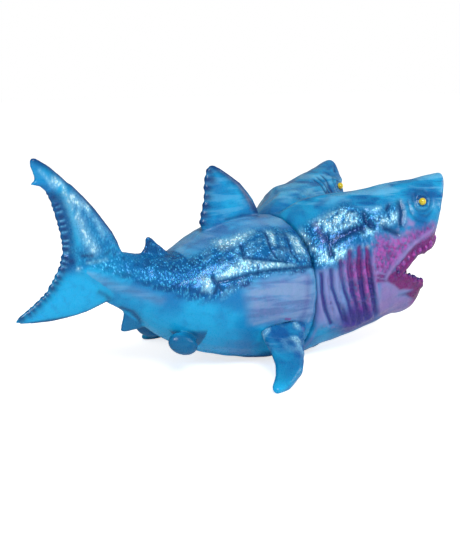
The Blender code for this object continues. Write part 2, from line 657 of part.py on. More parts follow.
def build_pectoral():
    span, chord, place = pectoral_frame()
    blade = fin("pectoral", PECTORAL_FIN, 0.0, PECTORAL_SPAN, place=place)
    flank = loft("flank", TRUNK, TRUNK_RINGS, TRUNK_SIDES, cutters, grow=SEAT_GAP)
    combine(blade, [flank], "DIFFERENCE")
    seat = PECTORAL_SEAT - chord * PECTORAL_PLUG_SET_BACK
    start = seat + span * PECTORAL_PLUG_ROOT
    end = seat - span * PECTORAL_PLUG_LENGTH
    combine(blade, [cylinder("fin_plug", start, end, PECTORAL_PLUG_RADIUS, 20)], "UNION")
    combine(blade, [ground()], "DIFFERENCE")
    blade.name = "pectoral_fin_right"
    blade.data.name = blade.name
    cutters.objects.unlink(blade)
    parts.objects.link(blade)
    blade.hide_render = False
    blade.display_type = "TEXTURED"
    return blade


body = build_body()
front = build_front()
right_fin = build_pectoral()
left_fin = mirrored(right_fin, "pectoral_fin_left")

body.data.materials.append(material("body_vinyl", (0.05, 0.35, 0.65), 0.3, 0.3))
front.data.materials.append(material("front_vinyl", (0.12, 0.4, 0.7), 0.3, 0.3))
right_fin.data.materials.append(material("right_fin_vinyl", (0.02, 0.2, 0.55), 0.25, 0.0))
left_fin.data.materials.clear()
left_fin.data.materials.append(material("left_fin_vinyl", (0.02, 0.2, 0.55), 0.25, 0.0))

for piece in parts.objects:
    for face in piece.data.polygons:
        face.use_smooth = True
    piece.data.set_sharp_from_angle(angle=radians(40))
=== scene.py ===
# %% [markdown]
# # A two-headed shark in soft vinyl
# The object is a bathroom-shelf monster: one fat body, two gaping heads and stubby fins, cast
# in translucent blue vinyl and then sprayed with pearl, navy and magenta paint. The packed CAD
# solids already have the shapes and sizes. This script gives them a skin, paint and light.

import json
from math import cos, pi, radians, sin

import bmesh
import bpy
import numpy as np
from mathutils import Matrix, Vector
from mathutils.bvhtree import BVHTree

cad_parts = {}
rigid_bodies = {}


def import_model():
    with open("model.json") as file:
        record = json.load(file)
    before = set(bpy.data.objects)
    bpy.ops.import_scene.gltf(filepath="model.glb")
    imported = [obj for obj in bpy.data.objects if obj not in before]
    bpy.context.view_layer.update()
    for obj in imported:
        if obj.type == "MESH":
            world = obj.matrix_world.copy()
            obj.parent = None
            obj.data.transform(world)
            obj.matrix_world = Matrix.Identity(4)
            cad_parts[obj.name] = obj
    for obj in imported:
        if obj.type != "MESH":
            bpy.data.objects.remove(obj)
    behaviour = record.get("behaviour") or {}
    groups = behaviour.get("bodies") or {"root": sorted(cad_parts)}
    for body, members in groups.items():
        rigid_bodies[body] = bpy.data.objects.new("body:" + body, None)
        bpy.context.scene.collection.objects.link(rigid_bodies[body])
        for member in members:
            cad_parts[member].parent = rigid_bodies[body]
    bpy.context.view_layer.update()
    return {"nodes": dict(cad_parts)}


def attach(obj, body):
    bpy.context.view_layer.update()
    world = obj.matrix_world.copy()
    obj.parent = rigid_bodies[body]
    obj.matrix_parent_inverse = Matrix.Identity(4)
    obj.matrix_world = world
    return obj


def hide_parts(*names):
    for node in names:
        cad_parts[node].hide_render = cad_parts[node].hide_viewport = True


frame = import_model()
nodes = frame["nodes"]
print("nodes", {name: len(node.data.polygons) for name, node in nodes.items()})

# %% [markdown]
# ## A ruler that follows each head
# Both heads turn out from the body line, and most details belong to a head. So every vertex
# of the front gets its place in its own head's terms: how far along the head it lies, how
# far to the outer side, and how high. A detail drawn once then lands on both heads.

# %% Head coordinates
HEAD_YAW = radians(24.1)  # how far each head turns out
PIVOT_BACK = 19.0  # millimetres from the collar back to the point they turn about


def head_terms(points):
    """Distance along the head, distance to its outer side, height."""
    side = np.where(points[:, 1] < 0, -1.0, 1.0)
    ahead = points[:, 0] + PIVOT_BACK
    out = points[:, 1] * side
    along = ahead * cos(HEAD_YAW) + out * sin(HEAD_YAW)
    outward = out * cos(HEAD_YAW) - ahead * sin(HEAD_YAW)
    return along, outward, points[:, 2]


along, outward, height = head_terms(np.array([[75.0, -45.0, 60.0], [75.0, 45.0, 60.0]]))
print("two mirrored points:", np.round(along, 1), "mm along,", np.round(outward, 1), "mm outward")

# %% [markdown]
# ## From facets to a soft skin
# A vinyl casting has no hard edges: the mould wears them round and the paint fills the rest.
# One way to get that is to model the skin again. A cheaper way is to take each CAD solid,
# cut it into small even squares with a voxel remesh, and then relax the result. Plain
# relaxing shrinks a mesh, so each inward step here is followed by a slightly larger
# outward one, which removes facets and keeps the volume.

# %% Mesh helpers
MM = 0.001
IN_AND_OUT = (0.6, -0.62)  # a step towards the neighbours, then a larger one away


def coordinates(mesh):
    flat = np.zeros(len(mesh.vertices) * 3)
    mesh.vertices.foreach_get("co", flat)
    return flat.reshape(-1, 3) / MM


def set_coordinates(mesh, points):
    mesh.vertices.foreach_set("co", (points * MM).ravel())
    mesh.update()


def normals(mesh):
    flat = np.zeros(len(mesh.vertices) * 3, np.float32)
    mesh.vertex_normals.foreach_get("vector", flat)
    return flat.reshape(-1, 3).astype(float)


def relax(mesh, rounds, weight=1.0):
    """Moves each vertex towards its neighbours and back out a little, so nothing shrinks."""
    points = coordinates(mesh)
    edges = np.zeros(len(mesh.edges) * 2, np.int64)
    mesh.edges.foreach_get("vertices", edges)
    first, second = edges[0::2], edges[1::2]
    count = len(points)
    degree = np.bincount(first, minlength=count) + np.bincount(second, minlength=count)
    amount = np.broadcast_to(np.asarray(weight, float), (count,))[:, None]
    for _ in range(rounds):
        for step in IN_AND_OUT:
            total = np.zeros_like(points)
            for axis in range(3):
                total[:, axis] = np.bincount(first, points[second, axis], count)
                total[:, axis] += np.bincount(second, points[first, axis], count)
            points += step * amount * (total / degree[:, None] - points)
    set_coordinates(mesh, points)


print("steps of a round of relaxing:", IN_AND_OUT)

# %% [markdown]
# Every solid goes through the same steps: a copy, a voxel remesh and some rounds of relaxing.
# The squares are kept small, under a millimetre across. The squares are about as small as the
# triangle budget allows. The jaws relax less than the rest, so the gums keep their shape.

# %% Remesh and relax the solids
VOXEL = {"body": 0.66, "two_headed_front": 0.78, "pectoral_fin_right": 0.6, "pectoral_fin_left": 0.6}
ROUNDS = {"body": 16, "two_headed_front": 16, "pectoral_fin_right": 10, "pectoral_fin_left": 10}
JAW_SHARE = 0.25


def soft_skin(name):
    """A fine, even, rounded copy of one CAD solid."""
    solid = bmesh.new()
    solid.from_mesh(nodes[name].data)
    bmesh.ops.remove_doubles(solid, verts=solid.verts, dist=1e-6)
    mesh = bpy.data.meshes.new(name + "_skin")
    solid.to_mesh(mesh)
    solid.free()
    rough = bpy.data.objects.new(name + "_rough", mesh)
    bpy.context.scene.collection.objects.link(rough)
    step = rough.modifiers.new("even squares", "REMESH")
    step.mode = "VOXEL"
    step.voxel_size = VOXEL[name] * MM
    step.adaptivity = 0.0
    graph = bpy.context.evaluated_depsgraph_get()
    fine = bpy.data.meshes.new_from_object(rough.evaluated_get(graph))
    bpy.data.objects.remove(rough, do_unlink=True)
    fine.name = name + "_skin"
    fine.materials.clear()
    piece = bpy.data.objects.new(name + "_skin", fine)
    bpy.context.scene.collection.objects.link(piece)
    fine.polygons.foreach_set("use_smooth", np.ones(len(fine.polygons), bool))
    return piece


skins = {name: soft_skin(name) for name in nodes}
for name, piece in skins.items():
    weight = 1.0
    if name == "two_headed_front":
        along, outward, height = head_terms(coordinates(piece.data))
        jaws = (along > 76.0) & (height > 30.0) & (height < 62.0)
        weight = np.where(jaws, JAW_SHARE, 1.0)
    relax(piece.data, ROUNDS[name], weight)
    print(name, "squares", len(piece.data.polygons))

# %% [markdown]
# ## Soft brushes
# Sculpting and painting both need marks with soft edges. These few functions measure how
# far each vertex lies from a bent line or an outline and turn that into a value from 0 to 1.

# %% Brushes
def fade(low, high, value):
    """0 at the low end, 1 at the high end and a soft curve between them."""
    t = np.clip((value - low) / (high - low), 0.0, 1.0)
    return t * t * (3 - 2 * t)


def line_distance(a, b, line):
    """Distance in a plane from each point to a bent line, and how far along it that is."""
    best = np.full(len(a), 1e9)
    run = np.zeros(len(a))
    length = 0.0
    for (a0, b0), (a1, b1) in zip(line, line[1:]):
        da, db = a1 - a0, b1 - b0
        size = (da * da + db * db) ** 0.5
        t = np.clip(((a - a0) * da + (b - b0) * db) / size**2, 0.0, 1.0)
        gap = np.hypot(a - a0 - t * da, b - b0 - t * db)
        nearer = gap < best
        best = np.where(nearer, gap, best)
        run = np.where(nearer, length + t * size, run)
        length += size
    return best, run


def inside(a, b, outline, edge):
    """1 inside an outline and 0 outside, with a soft edge of that width."""
    crossings = np.zeros(len(a), bool)
    ring = outline + outline[:1]
    for (a0, b0), (a1, b1) in zip(ring, ring[1:]):
        hit = (b0 > b) != (b1 > b)
        across = a0 + (b - b0) * (a1 - a0) / (b1 - b0 if b1 != b0 else 1e-9)
        crossings ^= hit & (a < across)
    gap, _ = line_distance(a, b, ring)
    signed = np.where(crossings, gap, -gap)
    return fade(-edge / 2, edge / 2, signed)


def bell(value, middle, width):
    """1 at the middle value, falling softly to 0 on both sides."""
    return np.exp(-(((value - middle) / width) ** 2))


def spot(a, b, centre, width, tall):
    """A soft oval spot."""
    return np.exp(-(((a - centre[0]) / width) ** 2) - (((b - centre[1]) / tall) ** 2))


def stroke(a, b, line, width):
    """A soft brush stroke along a bent line."""
    return bell(line_distance(a, b, line)[0], 0.0, width)


sample = stroke(np.array([0.0, 1.0, 2.0]), np.zeros(3), [(0.0, -5.0), (0.0, 5.0)], 1.0)
print("a stroke of width 1 is this strong 0, 1 and 2 mm from its line:", np.round(sample, 2))

# %% [markdown]
# A few more helpers: a noise for uneven places, a way to join marks, and the two things that
# a mark can do, which are to push the skin and to be stored as a mask for the paint.

# %% Noise, marks, pushes and masks
def waves(points, size, seed):
    """A cheap smooth noise between -1 and 1, from a few tilted sine waves."""
    rng = np.random.default_rng(seed)
    total = np.zeros(len(points))
    for _ in range(6):
        way = rng.normal(size=3)
        way /= np.linalg.norm(way)
        total += np.sin(points @ way * 2 * pi / (size * rng.uniform(0.7, 1.5)) + rng.uniform(0, 6))
    return total / 3.5


def push(piece, heights):
    """Moves the skin along its normals, in millimetres."""
    points = coordinates(piece.data)
    set_coordinates(piece.data, points + normals(piece.data) * heights[:, None])


def mask(piece, name, values):
    """Stores a paint mask from 0 to 1 on the vertices."""
    layer = piece.data.attributes.new(name, "FLOAT", "POINT")
    layer.data.foreach_set("value", np.clip(values, 0.0, 1.0).astype(np.float32))


def most(marks):
    """The strongest of several marks at each vertex."""
    return np.maximum.reduce(list(marks))


def creases(a, b, lines, where):
    """Creases as a mark from 0 to 1, and as depths in millimetres."""
    marks = [stroke(a, b, line, width) * where for line, width, _ in lines]
    return most(marks), most(mark * depth for mark, (_, _, depth) in zip(marks, lines))


def along_line(where, line):
    """The height of a drawn line at each place along it."""
    return np.interp(where, [p[0] for p in line], [p[1] for p in line])


print("halfway up a line that climbs to 10:", along_line(4.0, [(0.0, 0.0), (8.0, 10.0)]))

# %% [markdown]
# ## Sculpting the front
# The sculptor cut gill grooves with fleshy ridges between them, folds of skin round each small
# eye, a rolled lip, and deep pits and creases behind the jaw. Each is a line in head terms:
# every pair of numbers is a place along the head and a height, in millimetres.

# %% Lines of the front
GILLS = [
    [(59.0, 60.4), (59.4, 51.8), (60.8, 43.0), (63.8, 32.3), (67.0, 23.4)],
    [(54.6, 61.0), (54.2, 51.6), (55.2, 43.6), (58.0, 32.2), (61.1, 22.2)],
    [(49.4, 59.5), (49.0, 50.6), (50.9, 38.2), (55.2, 26.7), (57.0, 20.0)],
    [(44.2, 54.5), (44.4, 48.0), (46.1, 39.9), (50.9, 29.0), (53.9, 20.8)],
    [(39.0, 50.3), (39.6, 40.9), (43.6, 31.8), (48.5, 21.7)],
    [(33.8, 48.0), (34.1, 39.2), (36.8, 29.2), (41.0, 21.0)],
]
JAW_RIDGE = [(62.5, 66.5), (62.2, 59.4), (61.9, 51.0), (64.4, 38.4), (68.5, 25.1)]
LIP = [(69.3, 44.2), (72.5, 49.0), (78.0, 54.1), (82.4, 58.0), (86.7, 61.3), (92.7, 64.5), (98.2, 67.1)]
EYE = (92.3, 82.0)
LIDS = [
    [(88.9, 83.6), (88.0, 79.2), (90.1, 75.6), (94.6, 74.2), (97.8, 76.6)],
    [(84.6, 82.1), (85.0, 77.0), (87.9, 73.0), (93.5, 71.0)],
    [(90.0, 87.4), (94.0, 87.6), (97.4, 84.4)],
]
# Creases are lines with a width and a depth, and bumps are places with a width.
CREASES = [
    ([(59.7, 77.2), (59.9, 73.4), (62.7, 71.0)], 1.5, 1.5),
    ([(40.9, 63.5), (44.1, 66.0), (48.5, 68.0), (52.3, 69.6), (57.3, 70.3)], 2.3, 1.1),
    ([(69.7, 69.9), (73.0, 68.4), (76.8, 66.6)], 1.5, 1.3),
    ([(79.8, 82.0), (80.4, 76.8), (79.1, 71.4)], 2.0, 0.9),
    ([(73.5, 80.4), (71.8, 78.7)], 1.2, 0.5),
    ([(38.5, 66.8), (39.5, 62.4), (39.5, 57.9)], 1.3, 0.9),
    ([(98.6, 89.6), (100.6, 90.9), (102.3, 92.1)], 0.8, 0.8),
    ([(87.0, 91.5), (90.0, 88.6)], 0.7, 0.4),
]
# Folds on the side of each head that faces the other one.
INNER_FOLDS = [
    ([(70.0, 91.0), (72.0, 85.0), (70.5, 78.0)], 1.2, 0.7),
    ([(75.5, 92.0), (77.2, 86.0), (75.6, 79.0)], 1.2, 0.8),
    ([(81.0, 92.5), (82.4, 87.0), (81.0, 80.0)], 1.1, 0.7),
]
CORNER_LINES = [[(63.5, 48.2), (66.5, 47.2), (69.9, 45.8)], [(63.3, 45.4), (66.5, 44.2), (70.0, 43.5)]]
SNOUT_BUMPS = [(104.6, 84.0, 1.6), (103.0, 77.5, 1.5), (100.6, 71.0, 1.5)]
MOUTH_ROOF = [(71.0, 42.5), (80.0, 47.0), (84.0, 51.8), (88.5, 56.2), (95.0, 57.6), (101.0, 60.6)]
MOUTH_FLOOR = [(71.0, 42.5), (80.0, 42.6), (84.0, 42.4), (89.0, 39.4), (94.0, 36.6), (96.0, 34.8)]
# Half the width of a head, at places along it.
WIDEST = [
    (20, 26.0), (36, 26.4), (60, 25.0), (70, 23.4), (79, 21.2), (85, 19.4), (90, 17.8), (96, 15.4),
    (102, 11.2), (108, 4.0),
]
PEBBLES = [
    (25, 73), (31, 78.5), (40, 82.5), (48, 83.5), (55, 82.0), (60, 77), (64.5, 77), (71, 78), (79, 81),
    (79.5, 72), (73, 69.5), (66.7, 69), (62, 66), (56, 64), (50, 63.5), (49, 58.5), (46, 54),
    (39.8, 52.0), (32.5, 51.0), (25, 54),
]
GILL_AREA = [(32, 20), (32, 51), (46, 60), (60, 63), (64, 50), (70, 24), (54, 16)]
print("on each head:", len(GILLS), "gills,", len(CREASES), "creases and", len(INNER_FOLDS), "inner folds")

# %% [markdown]
# Soft areas say where on a head a mark may be: on the flank, on the side that faces the other
# head, inside the mouth, at the collar seam or in the field of the gills.

# %% Areas of the front
front = skins["two_headed_front"]
points = coordinates(front.data)
along, outward, height = head_terms(points)
flank = fade(8.0, 14.0, np.abs(outward))
inner_side = fade(-3.0, -7.0, outward)
roof = along_line(along, MOUTH_ROOF)
floor_line = along_line(along, MOUTH_FLOOR)
mouth = (
    fade(46.0, 50.0, along)
    * np.where(along < 69.0, fade(15.0, 12.0, np.abs(outward)), 1.0)
    * fade(0.86, 0.78, np.abs(outward) / along_line(along, WIDEST))
    * fade(roof + 12.0, roof + 9.0, height)
    * fade(floor_line - 11.0, floor_line - 8.0, height)
)
skin_side = flank * (1 - mouth)
seam = fade(3.0, 0.2, points[:, 0])
gill_zone = inside(along, height, GILL_AREA, 5.0)
print("share of the front inside a mouth", round(float(mouth.mean()), 3))

# %% [markdown]
# The marks come next: grooves with ridges between them, creases with their depths, two rings
# of lid round each eye that sine waves make uneven, a rolled lip and small bumps on the snout.

# %% Marks of the front
groove = most(stroke(along, height, line, 1.15) for line in GILLS)
gap_to_gill = np.min([line_distance(along, height, line)[0] for line in GILLS], axis=0)
ridge = gill_zone * fade(1.0, 2.4, gap_to_gill)
ridge_paint = gill_zone * fade(0.5, 1.3, gap_to_gill)
crease, crease_depth = creases(along, height, CREASES, 1.0)
fold, fold_depth = creases(along, height, INNER_FOLDS, inner_side)
crease = np.maximum(crease, fold)
crease_depth = np.maximum(crease_depth, fold_depth)
eye_gap = np.hypot(along - EYE[0], height - EYE[1])
eye_turn = np.arctan2(height - EYE[1], along - EYE[0])
uneven = 0.9 + 0.4 * np.sin(3 * eye_turn + 1.0) + 0.3 * np.sin(7 * eye_turn)
lid = bell(eye_gap, 3.3, 0.75) * uneven
lid += 0.55 * bell(eye_gap, 6.3, 1.0) * uneven * fade(85.0, 80.0, height)
lid_fold = most(stroke(along, height, line, 0.75) for line in LIDS)
lip = stroke(along, height, LIP, 1.25)
jaw_ridge = stroke(along, height, JAW_RIDGE, 0.9)
bumps = most(spot(along, height, (place, level), size, size) for place, level, size in SNOUT_BUMPS)
lumps = waves(points, 9.0, 3)
wrinkle = waves(points * np.array([1.0, 1.0, 0.45]), 3.6, 5)
pebbles = inside(along, height + 1.2 * lumps, PEBBLES, 7.0)
brow = spot(along, height, (66.5, 79.5), 4.5, 2.6)
cheek_area = spot(along, height, (76.0, 60.0), 13.0, 10.0) * skin_side
print("share of the front under pebbles", round(float(pebbles.mean()), 3))

# %% [markdown]
# All marks add up to one height per vertex, and a single push moves the skin by it. One more
# round of relaxing takes the sharpness off the folds.

# %% Push the front
heights = -1.1 * groove * gill_zone * skin_side + 0.6 * ridge * skin_side
heights += 0.3 * waves(points, 3.1, 6) * (cheek_area + bell(eye_gap, 0.0, 9.0) * flank)
heights -= crease_depth * np.maximum(skin_side, inner_side)
heights += (0.8 * lid - 0.45 * lid_fold * (0.6 + 0.4 * wrinkle)) * fade(5.0, 9.0, np.abs(outward))
heights += (0.7 * lip + 0.6 * jaw_ridge + 0.7 * brow) * skin_side
heights += 0.9 * bumps * fade(12.0, 8.0, np.abs(outward))
heights += 0.2 * wrinkle * pebbles * flank + 0.16 * lumps * (1 - mouth)
heights -= 0.35 * seam
push(front, heights)
relax(front.data, 1)
print("front sculpted, deepest push", round(float(heights.min()), 2), "mm")

# %% [markdown]
# ## Painting masks for the front
# Vinyl figures are painted with sprays and brushes over stencils. Here each paint is a mask:
# pearl over the pebbled hide, magenta in the mouth, cheeks and gills and a pale film on the lip
# and the ridges. Other masks hold painted light: navy painted shade in the creases, painted
# highlights on the humps and a painted glow on the crown. The materials further down read
# these masks.

# %% Outlines of the paint and the painted highlights on the front
CHEEK = [
    (62.6, 61.0), (65.0, 66.5), (72.7, 66.0), (78.8, 65.0), (84.0, 67.0), (90.4, 68.2), (99.3, 70.5),
    (104.0, 66.0), (99.0, 60.0), (86.8, 57.0), (78.9, 52.0), (73.6, 45.4), (69.3, 43.1), (62.8, 44.4),
]
LOWER_GUM = [
    (69.0, 44.8), (76.3, 48.0), (80.0, 47.0), (84.9, 44.5), (91.1, 41.2), (97.0, 38.0), (96.0, 31.5),
    (92.0, 31.4), (87.8, 35.3), (81.9, 36.6), (79.2, 36.4), (75.3, 39.6), (70.0, 42.6),
]
CHIN = [
    (66.0, 43.0), (72.0, 43.5), (80.0, 39.0), (86.0, 37.0), (93.0, 34.0), (91.0, 23.0), (76.0, 20.0),
    (69.0, 22.0), (66.0, 30.0),
]
# A painted highlight in the film colour on the upper cheek.
CHEEK_HIGHLIGHT = [(78.0, 72.0), (83.1, 74.0), (87.4, 72.0), (88.0, 66.2), (79.7, 65.0), (76.1, 68.0)]
GILL_PINK = [
    (45.5, 54.5), (49.0, 58.0), (59.9, 57.0), (63.0, 40.0), (66.0, 26.0), (53.2, 25.8), (47.0, 42.2),
]
GILL_VIOLET = [
    (44.5, 24.0), (49.5, 29.0), (60.0, 30.5), (67.5, 25.0), (70.7, 18.4), (59.5, 12.0), (51.0, 11.0),
]
# Painted highlights on the humps of the hide, along the collar ridge and at the slit tops.
HUMP_HIGHLIGHTS = [
    [(31.0, 73.0), (35.6, 76.0), (42.6, 79.0), (49.2, 79.5), (55.0, 77.5), (56.2, 73.0), (51.2, 70.8),
     (44.0, 68.4), (38.5, 68.0)],
    [(64.5, 75.4), (70.5, 75.7), (77.7, 78.9), (78.0, 73.0), (73.3, 70.8), (66.7, 71.0)],
    [(55.8, 70.0), (60.0, 70.6), (66.0, 69.2), (62.1, 66.0), (56.9, 66.0)],
    [(32.5, 57.0), (39.4, 61.8), (45.3, 62.4), (48.7, 59.5), (45.0, 55.0), (38.8, 53.3), (33.0, 53.0)],
]
COLLAR_HIGHLIGHT = [(25.7, 70.5), (28.0, 66.4), (30.4, 61.1), (33.9, 58.0)]
NECK_PINK = [(34.3, 71.7), (36.9, 64.7)]
CORNER = [(63.3, 46.5), (71.0, 46.5), (73.0, 42.0), (63.3, 42.6)]
SLIT_TOP_HIGHLIGHTS = [(59.6, 61.0), (55.3, 61.6), (49.9, 60.2)]
print("outlines of humps on each head:", len(HUMP_HIGHLIGHTS), "and points round a cheek:", len(CHEEK))

# %% [markdown]
# The outlines turn into areas of paint, of painted highlight and of painted shade. Noise moves
# their edges about, because no sprayed or brushed edge follows a drawn line exactly.

# %% Areas of paint, painted highlight and painted shade on the front
grain = waves(points, 5.0, 11)
speckle = waves(points, 2.4, 13)
outer = fade(-2.0, 4.0, outward)
cheek = inside(along + speckle, height + 0.8 * grain, CHEEK, 6.0) * skin_side
gum = np.maximum(
    fade(5.4, 4.0, line_distance(along, height, MOUTH_ROOF[1:])[0]),
    inside(along, height, LOWER_GUM, 2.0),
) * fade(68.0, 71.0, along)
corner = inside(along, height, CORNER, 1.5) * skin_side
chin = inside(along, height, CHIN, 5.0) * (1 - mouth)
chin_front = fade(84.0, 92.0, along) * fade(40.0, 34.0, height)
gill_pink = inside(along, height, GILL_PINK, 6.0) * skin_side
gill_violet = inside(along, height, GILL_VIOLET, 8.0) * skin_side
back_rows = np.interp(along, [33, 40, 48, 56, 62], [0.0, 0.35, 0.8, 1.0, 1.0])
slit_red = gill_zone * skin_side * groove * back_rows * fade(40.0, 47.0, height)
slit_top_highlights = most(spot(along, height, place, 1.7**0.5, 1.7**0.5) for place in SLIT_TOP_HIGHLIGHTS)
corner_lines = most(stroke(along, height, line, 0.5) for line in CORNER_LINES) * skin_side
top_rim = fade(0.0, 1.0, normals(front.data)[:, 2] - 0.55) * fade(5.5, 2.0, np.abs(outward))
top_rim *= fade(30.0, 60.0, along) * fade(98.0, 88.0, along)
# Painted shade: navy in the creases, the lid folds and the hollows round each eye.
crease_shade = most([
    crease * np.maximum(skin_side, 0.8 * inner_side),
    0.4 * lid_fold, 0.5 * bell(eye_gap, 5.0, 0.9), 0.9 * bell(eye_gap, 2.5, 0.55),
]) * fade(4.0, 7.0, np.abs(outward))
print("share of the front under cheek paint", round(float(cheek.mean()), 3))

# %% [markdown]
# Magenta and navy are the strong colours. Magenta fills the mouths, gums and cheeks and fades
# over the gills. Navy is painted shade in the creases, the lid folds, round each eye and in the
# gill grooves; it also gives the hide a darker tone at random and darkens the top of each head.

# %% Magenta, navy paint and painted shade on the front
rose = most([
    mouth, gum, 0.95 * corner, cheek * (0.8 + 0.2 * speckle), slit_red, 0.8 * chin_front, 0.16 * chin,
    gill_pink * ridge_paint * fade(60.0, 53.0, height) * (0.8 + 0.2 * speckle), 0.4 * gill_pink,
    0.3 * stroke(along, height, NECK_PINK, 1.4) * flank,
])
# Navy paint and painted shade: shade in the creases, eye hollows and gill grooves, a random darker tone on
# the hide, and darker along the top of each head.
ink = most([
    0.9 * crease_shade, 0.22 * groove * gill_zone * skin_side * (1 - slit_red),
    0.4 * fade(0.1, 0.9, grain) * pebbles * flank, 0.45 * top_rim,
])
mask(front, "rose", rose * (1 - 0.75 * lip * skin_side) * (1 - 0.8 * corner_lines))
mask(front, "ink", ink)
mask(front, "deep", most([0.9 * mouth, 0.7 * gum, 0.6 * slit_red, 0.5 * corner]))
print("share of the front under magenta", round(float(rose.mean()), 3))

# %% [markdown]
# The pale film and the violet are thin sprays, so they stay weaker than the brushed colours.
# The lip, the ridges between the gills and the chin catch most of the film. The pale on the
# upper cheeks and a pale line low on the seam are painted highlights, and the violet at the
# foot of the chin is painted shade.

# %% Film and violet, with painted highlights and shade, on the front
back_ridges = ridge_paint * skin_side * fade(54, 42, along)
pale = most([
    0.85 * lip * skin_side * fade(101.0, 97.0, along), 0.9 * corner_lines,
    # Painted highlight on the upper cheek.
    0.8 * inside(along, height, CHEEK_HIGHLIGHT, 3.0) * skin_side * fade(-0.6, 0.5, grain),
    0.65 * back_ridges * fade(56, 48, height) * fade(16, 26, height),
    0.5 * ridge * skin_side * fade(-0.2, 0.6, speckle),
    0.75 * jaw_ridge * skin_side * fade(62, 56, height),
    0.85 * chin * (0.85 + 0.15 * grain),
    # Painted highlight on the upper cheek.
    0.75 * cheek * fade(-0.1, 0.7, speckle) * fade(55, 64, height),
    # Painted highlight low on the collar seam.
    0.35 * bell(points[:, 0], 2.0, 0.8) * fade(58, 46, height),
])
violet = most([
    0.85 * gill_violet, 0.3 * cheek * fade(0.0, 0.8, lumps),
    # Painted shade at the foot of the chin.
    0.5 * chin * fade(26.0, 20.0, height),
    0.85 * fade(1.35, 0.4, gap_to_gill) * gill_zone * (1 - slit_red),
]) * skin_side
mask(front, "pale", pale * (1 - mouth) * (1 - pebbles) * (1 - crease_shade))
mask(front, "violet", violet)
print("share of the front under film", round(float(pale.mean()), 3))

# %% [markdown]
# Pearl lies over the pebbled hide, and painted highlights sit on its humps, the collar ridge,
# the brow and the tops of the gill slits. On the crown the bare vinyl is brushed, and a painted
# highlight and a painted glow lighten it.

# %% Pearl and painted highlights on the front
brow_height = height - 0.2 * (along - 66.3)
# A painted highlight on the crown, on the side that faces the other head.
crown_highlight = spot(along, outward, (52.0, -8.0), 11.0, 6.0) * fade(76.0, 81.0, height)
# Painted highlights on the humps, the collar ridge, the brow and the slit tops.
front_highlights = most([
    *(0.92 * inside(along, height, outline, 3.5) for outline in HUMP_HIGHLIGHTS),
    0.95 * stroke(along, height, COLLAR_HIGHLIGHT, 1.7),
    0.75 * spot(along, brow_height, (66.3, 78.9), 4.2, 1.2), slit_top_highlights,
]) * outer
# A painted glow on the crown.
crown_glow = fade(78.0, 84.0, height) * fade(101.0, 82.0, along)
crown_glow *= fade(-0.8, 0.6, lumps)
mask(front, "pearl", pebbles * flank * (1 - mouth) * (0.35 + 0.65 * outer))
# Painted highlights on the humps and the crown.
mask(front, "painted_highlight", most([
    front_highlights * flank * (1 - 0.9 * crease_shade) * fade(-1.1, 0.2, wrinkle),
    0.35 * crown_highlight * fade(-0.6, 0.6, lumps),
]))
mask(front, "brushed", fade(76.0, 82.0, height) * (1 - crease_shade) * (1 - 0.8 * pebbles))
# Painted glow low on the front and on the crown.
mask(front, "painted_glow", most([0.1 * fade(26.0, 14.0, height), 0.75 * crown_glow * (1 - crease_shade)]))
print("share of the front that shines", round(float((front_highlights * flank).mean()), 3))

# %% [markdown]
# ## Sculpting and masking the body
# The hide on the upper flanks is pebbled and creased like old leather, and it ends at a
# dark line along the side; the creases and that line get navy painted shade. Its lines are
# drawn from the side, as places along X and heights, and serve both flanks. The tail fin has
# raised rays and a knobbly band inside its trailing edge, and the fins get painted shade at
# their rims.

# %% Lines of the hide and the dorsal fin
SIDE_LINE = [
    (0.0, 52.0), (-10.8, 52.5), (-25.2, 53.0), (-37.0, 52.1), (-46.6, 50.2), (-53.5, 49.3), (-56.0, 44.0),
]
HIDE_LOW = [
    (0.0, 50.3), (-15.7, 50.7), (-25.2, 51.0), (-35.4, 50.0), (-43.3, 46.5), (-51.5, 41.0), (-58.7, 39.9),
    (-65.3, 40.4), (-71.1, 42.8), (-78.7, 46.5), (-90.3, 51.0), (-102.2, 55.5), (-113.2, 59.6),
    (-117.7, 61.2),
]
HIDE_HIGH = [
    (-5.7, 70.2), (-22.0, 71.6), (-34.4, 69.9), (-44.7, 67.4), (-52.4, 63.6), (-62.0, 60.0), (-66.7, 70.0),
]
BODY_CREASES = [
    ([(-20.6, 69.3), (-22.9, 62.4), (-21.6, 58.6), (-16.4, 56.0)], 0.9, 0.9),
    ([(-38.4, 59.9), (-29.3, 58.3), (-19.4, 56.6)], 0.6, 0.7),
    ([(-37.1, 65.1), (-38.4, 59.9)], 1.0, 0.9),
    ([(-32.5, 55.8), (-34.3, 51.6)], 0.7, 0.6),
    ([(-56.0, 51.6), (-53.0, 45.2)], 0.9, 0.8),
    ([(-10.0, 66.0), (-12.0, 60.0), (-9.0, 56.0)], 0.8, 0.6),
    (SIDE_LINE, 0.9, 0.7),
]
# Outlines of painted highlights on the hide.
HIDE_HIGHLIGHTS = [
    [(-55.5, 51.0), (-45.2, 56.4), (-38.7, 60.3), (-34.6, 59.5), (-36.8, 53.8), (-46.2, 51.8), (-53.6, 49.0)],
    [(-35.2, 58.4), (-19.9, 56.4), (-11.3, 54.0), (-11.8, 53.2), (-35.3, 53.8)],
    [(-50.2, 66.6), (-43.2, 68.4), (-28.6, 72.0), (-25.1, 70.7), (-38.8, 65.0), (-47.1, 63.0)],
    [(-19.9, 70.8), (-15.6, 69.6), (-19.7, 63.4), (-23.6, 64.9)],
    [(-60.5, 51.6), (-56.3, 51.6), (-57.3, 44.0), (-61.5, 45.1)],
    [(-9.0, 68.0), (-3.0, 66.0), (-2.5, 58.0), (-9.0, 59.0)],
]
DORSAL_LEAD = [(-41.0, 103.0), (-34.0, 99.6), (-24.2, 92.8), (-17.4, 83.0), (-12.0, 75.4)]
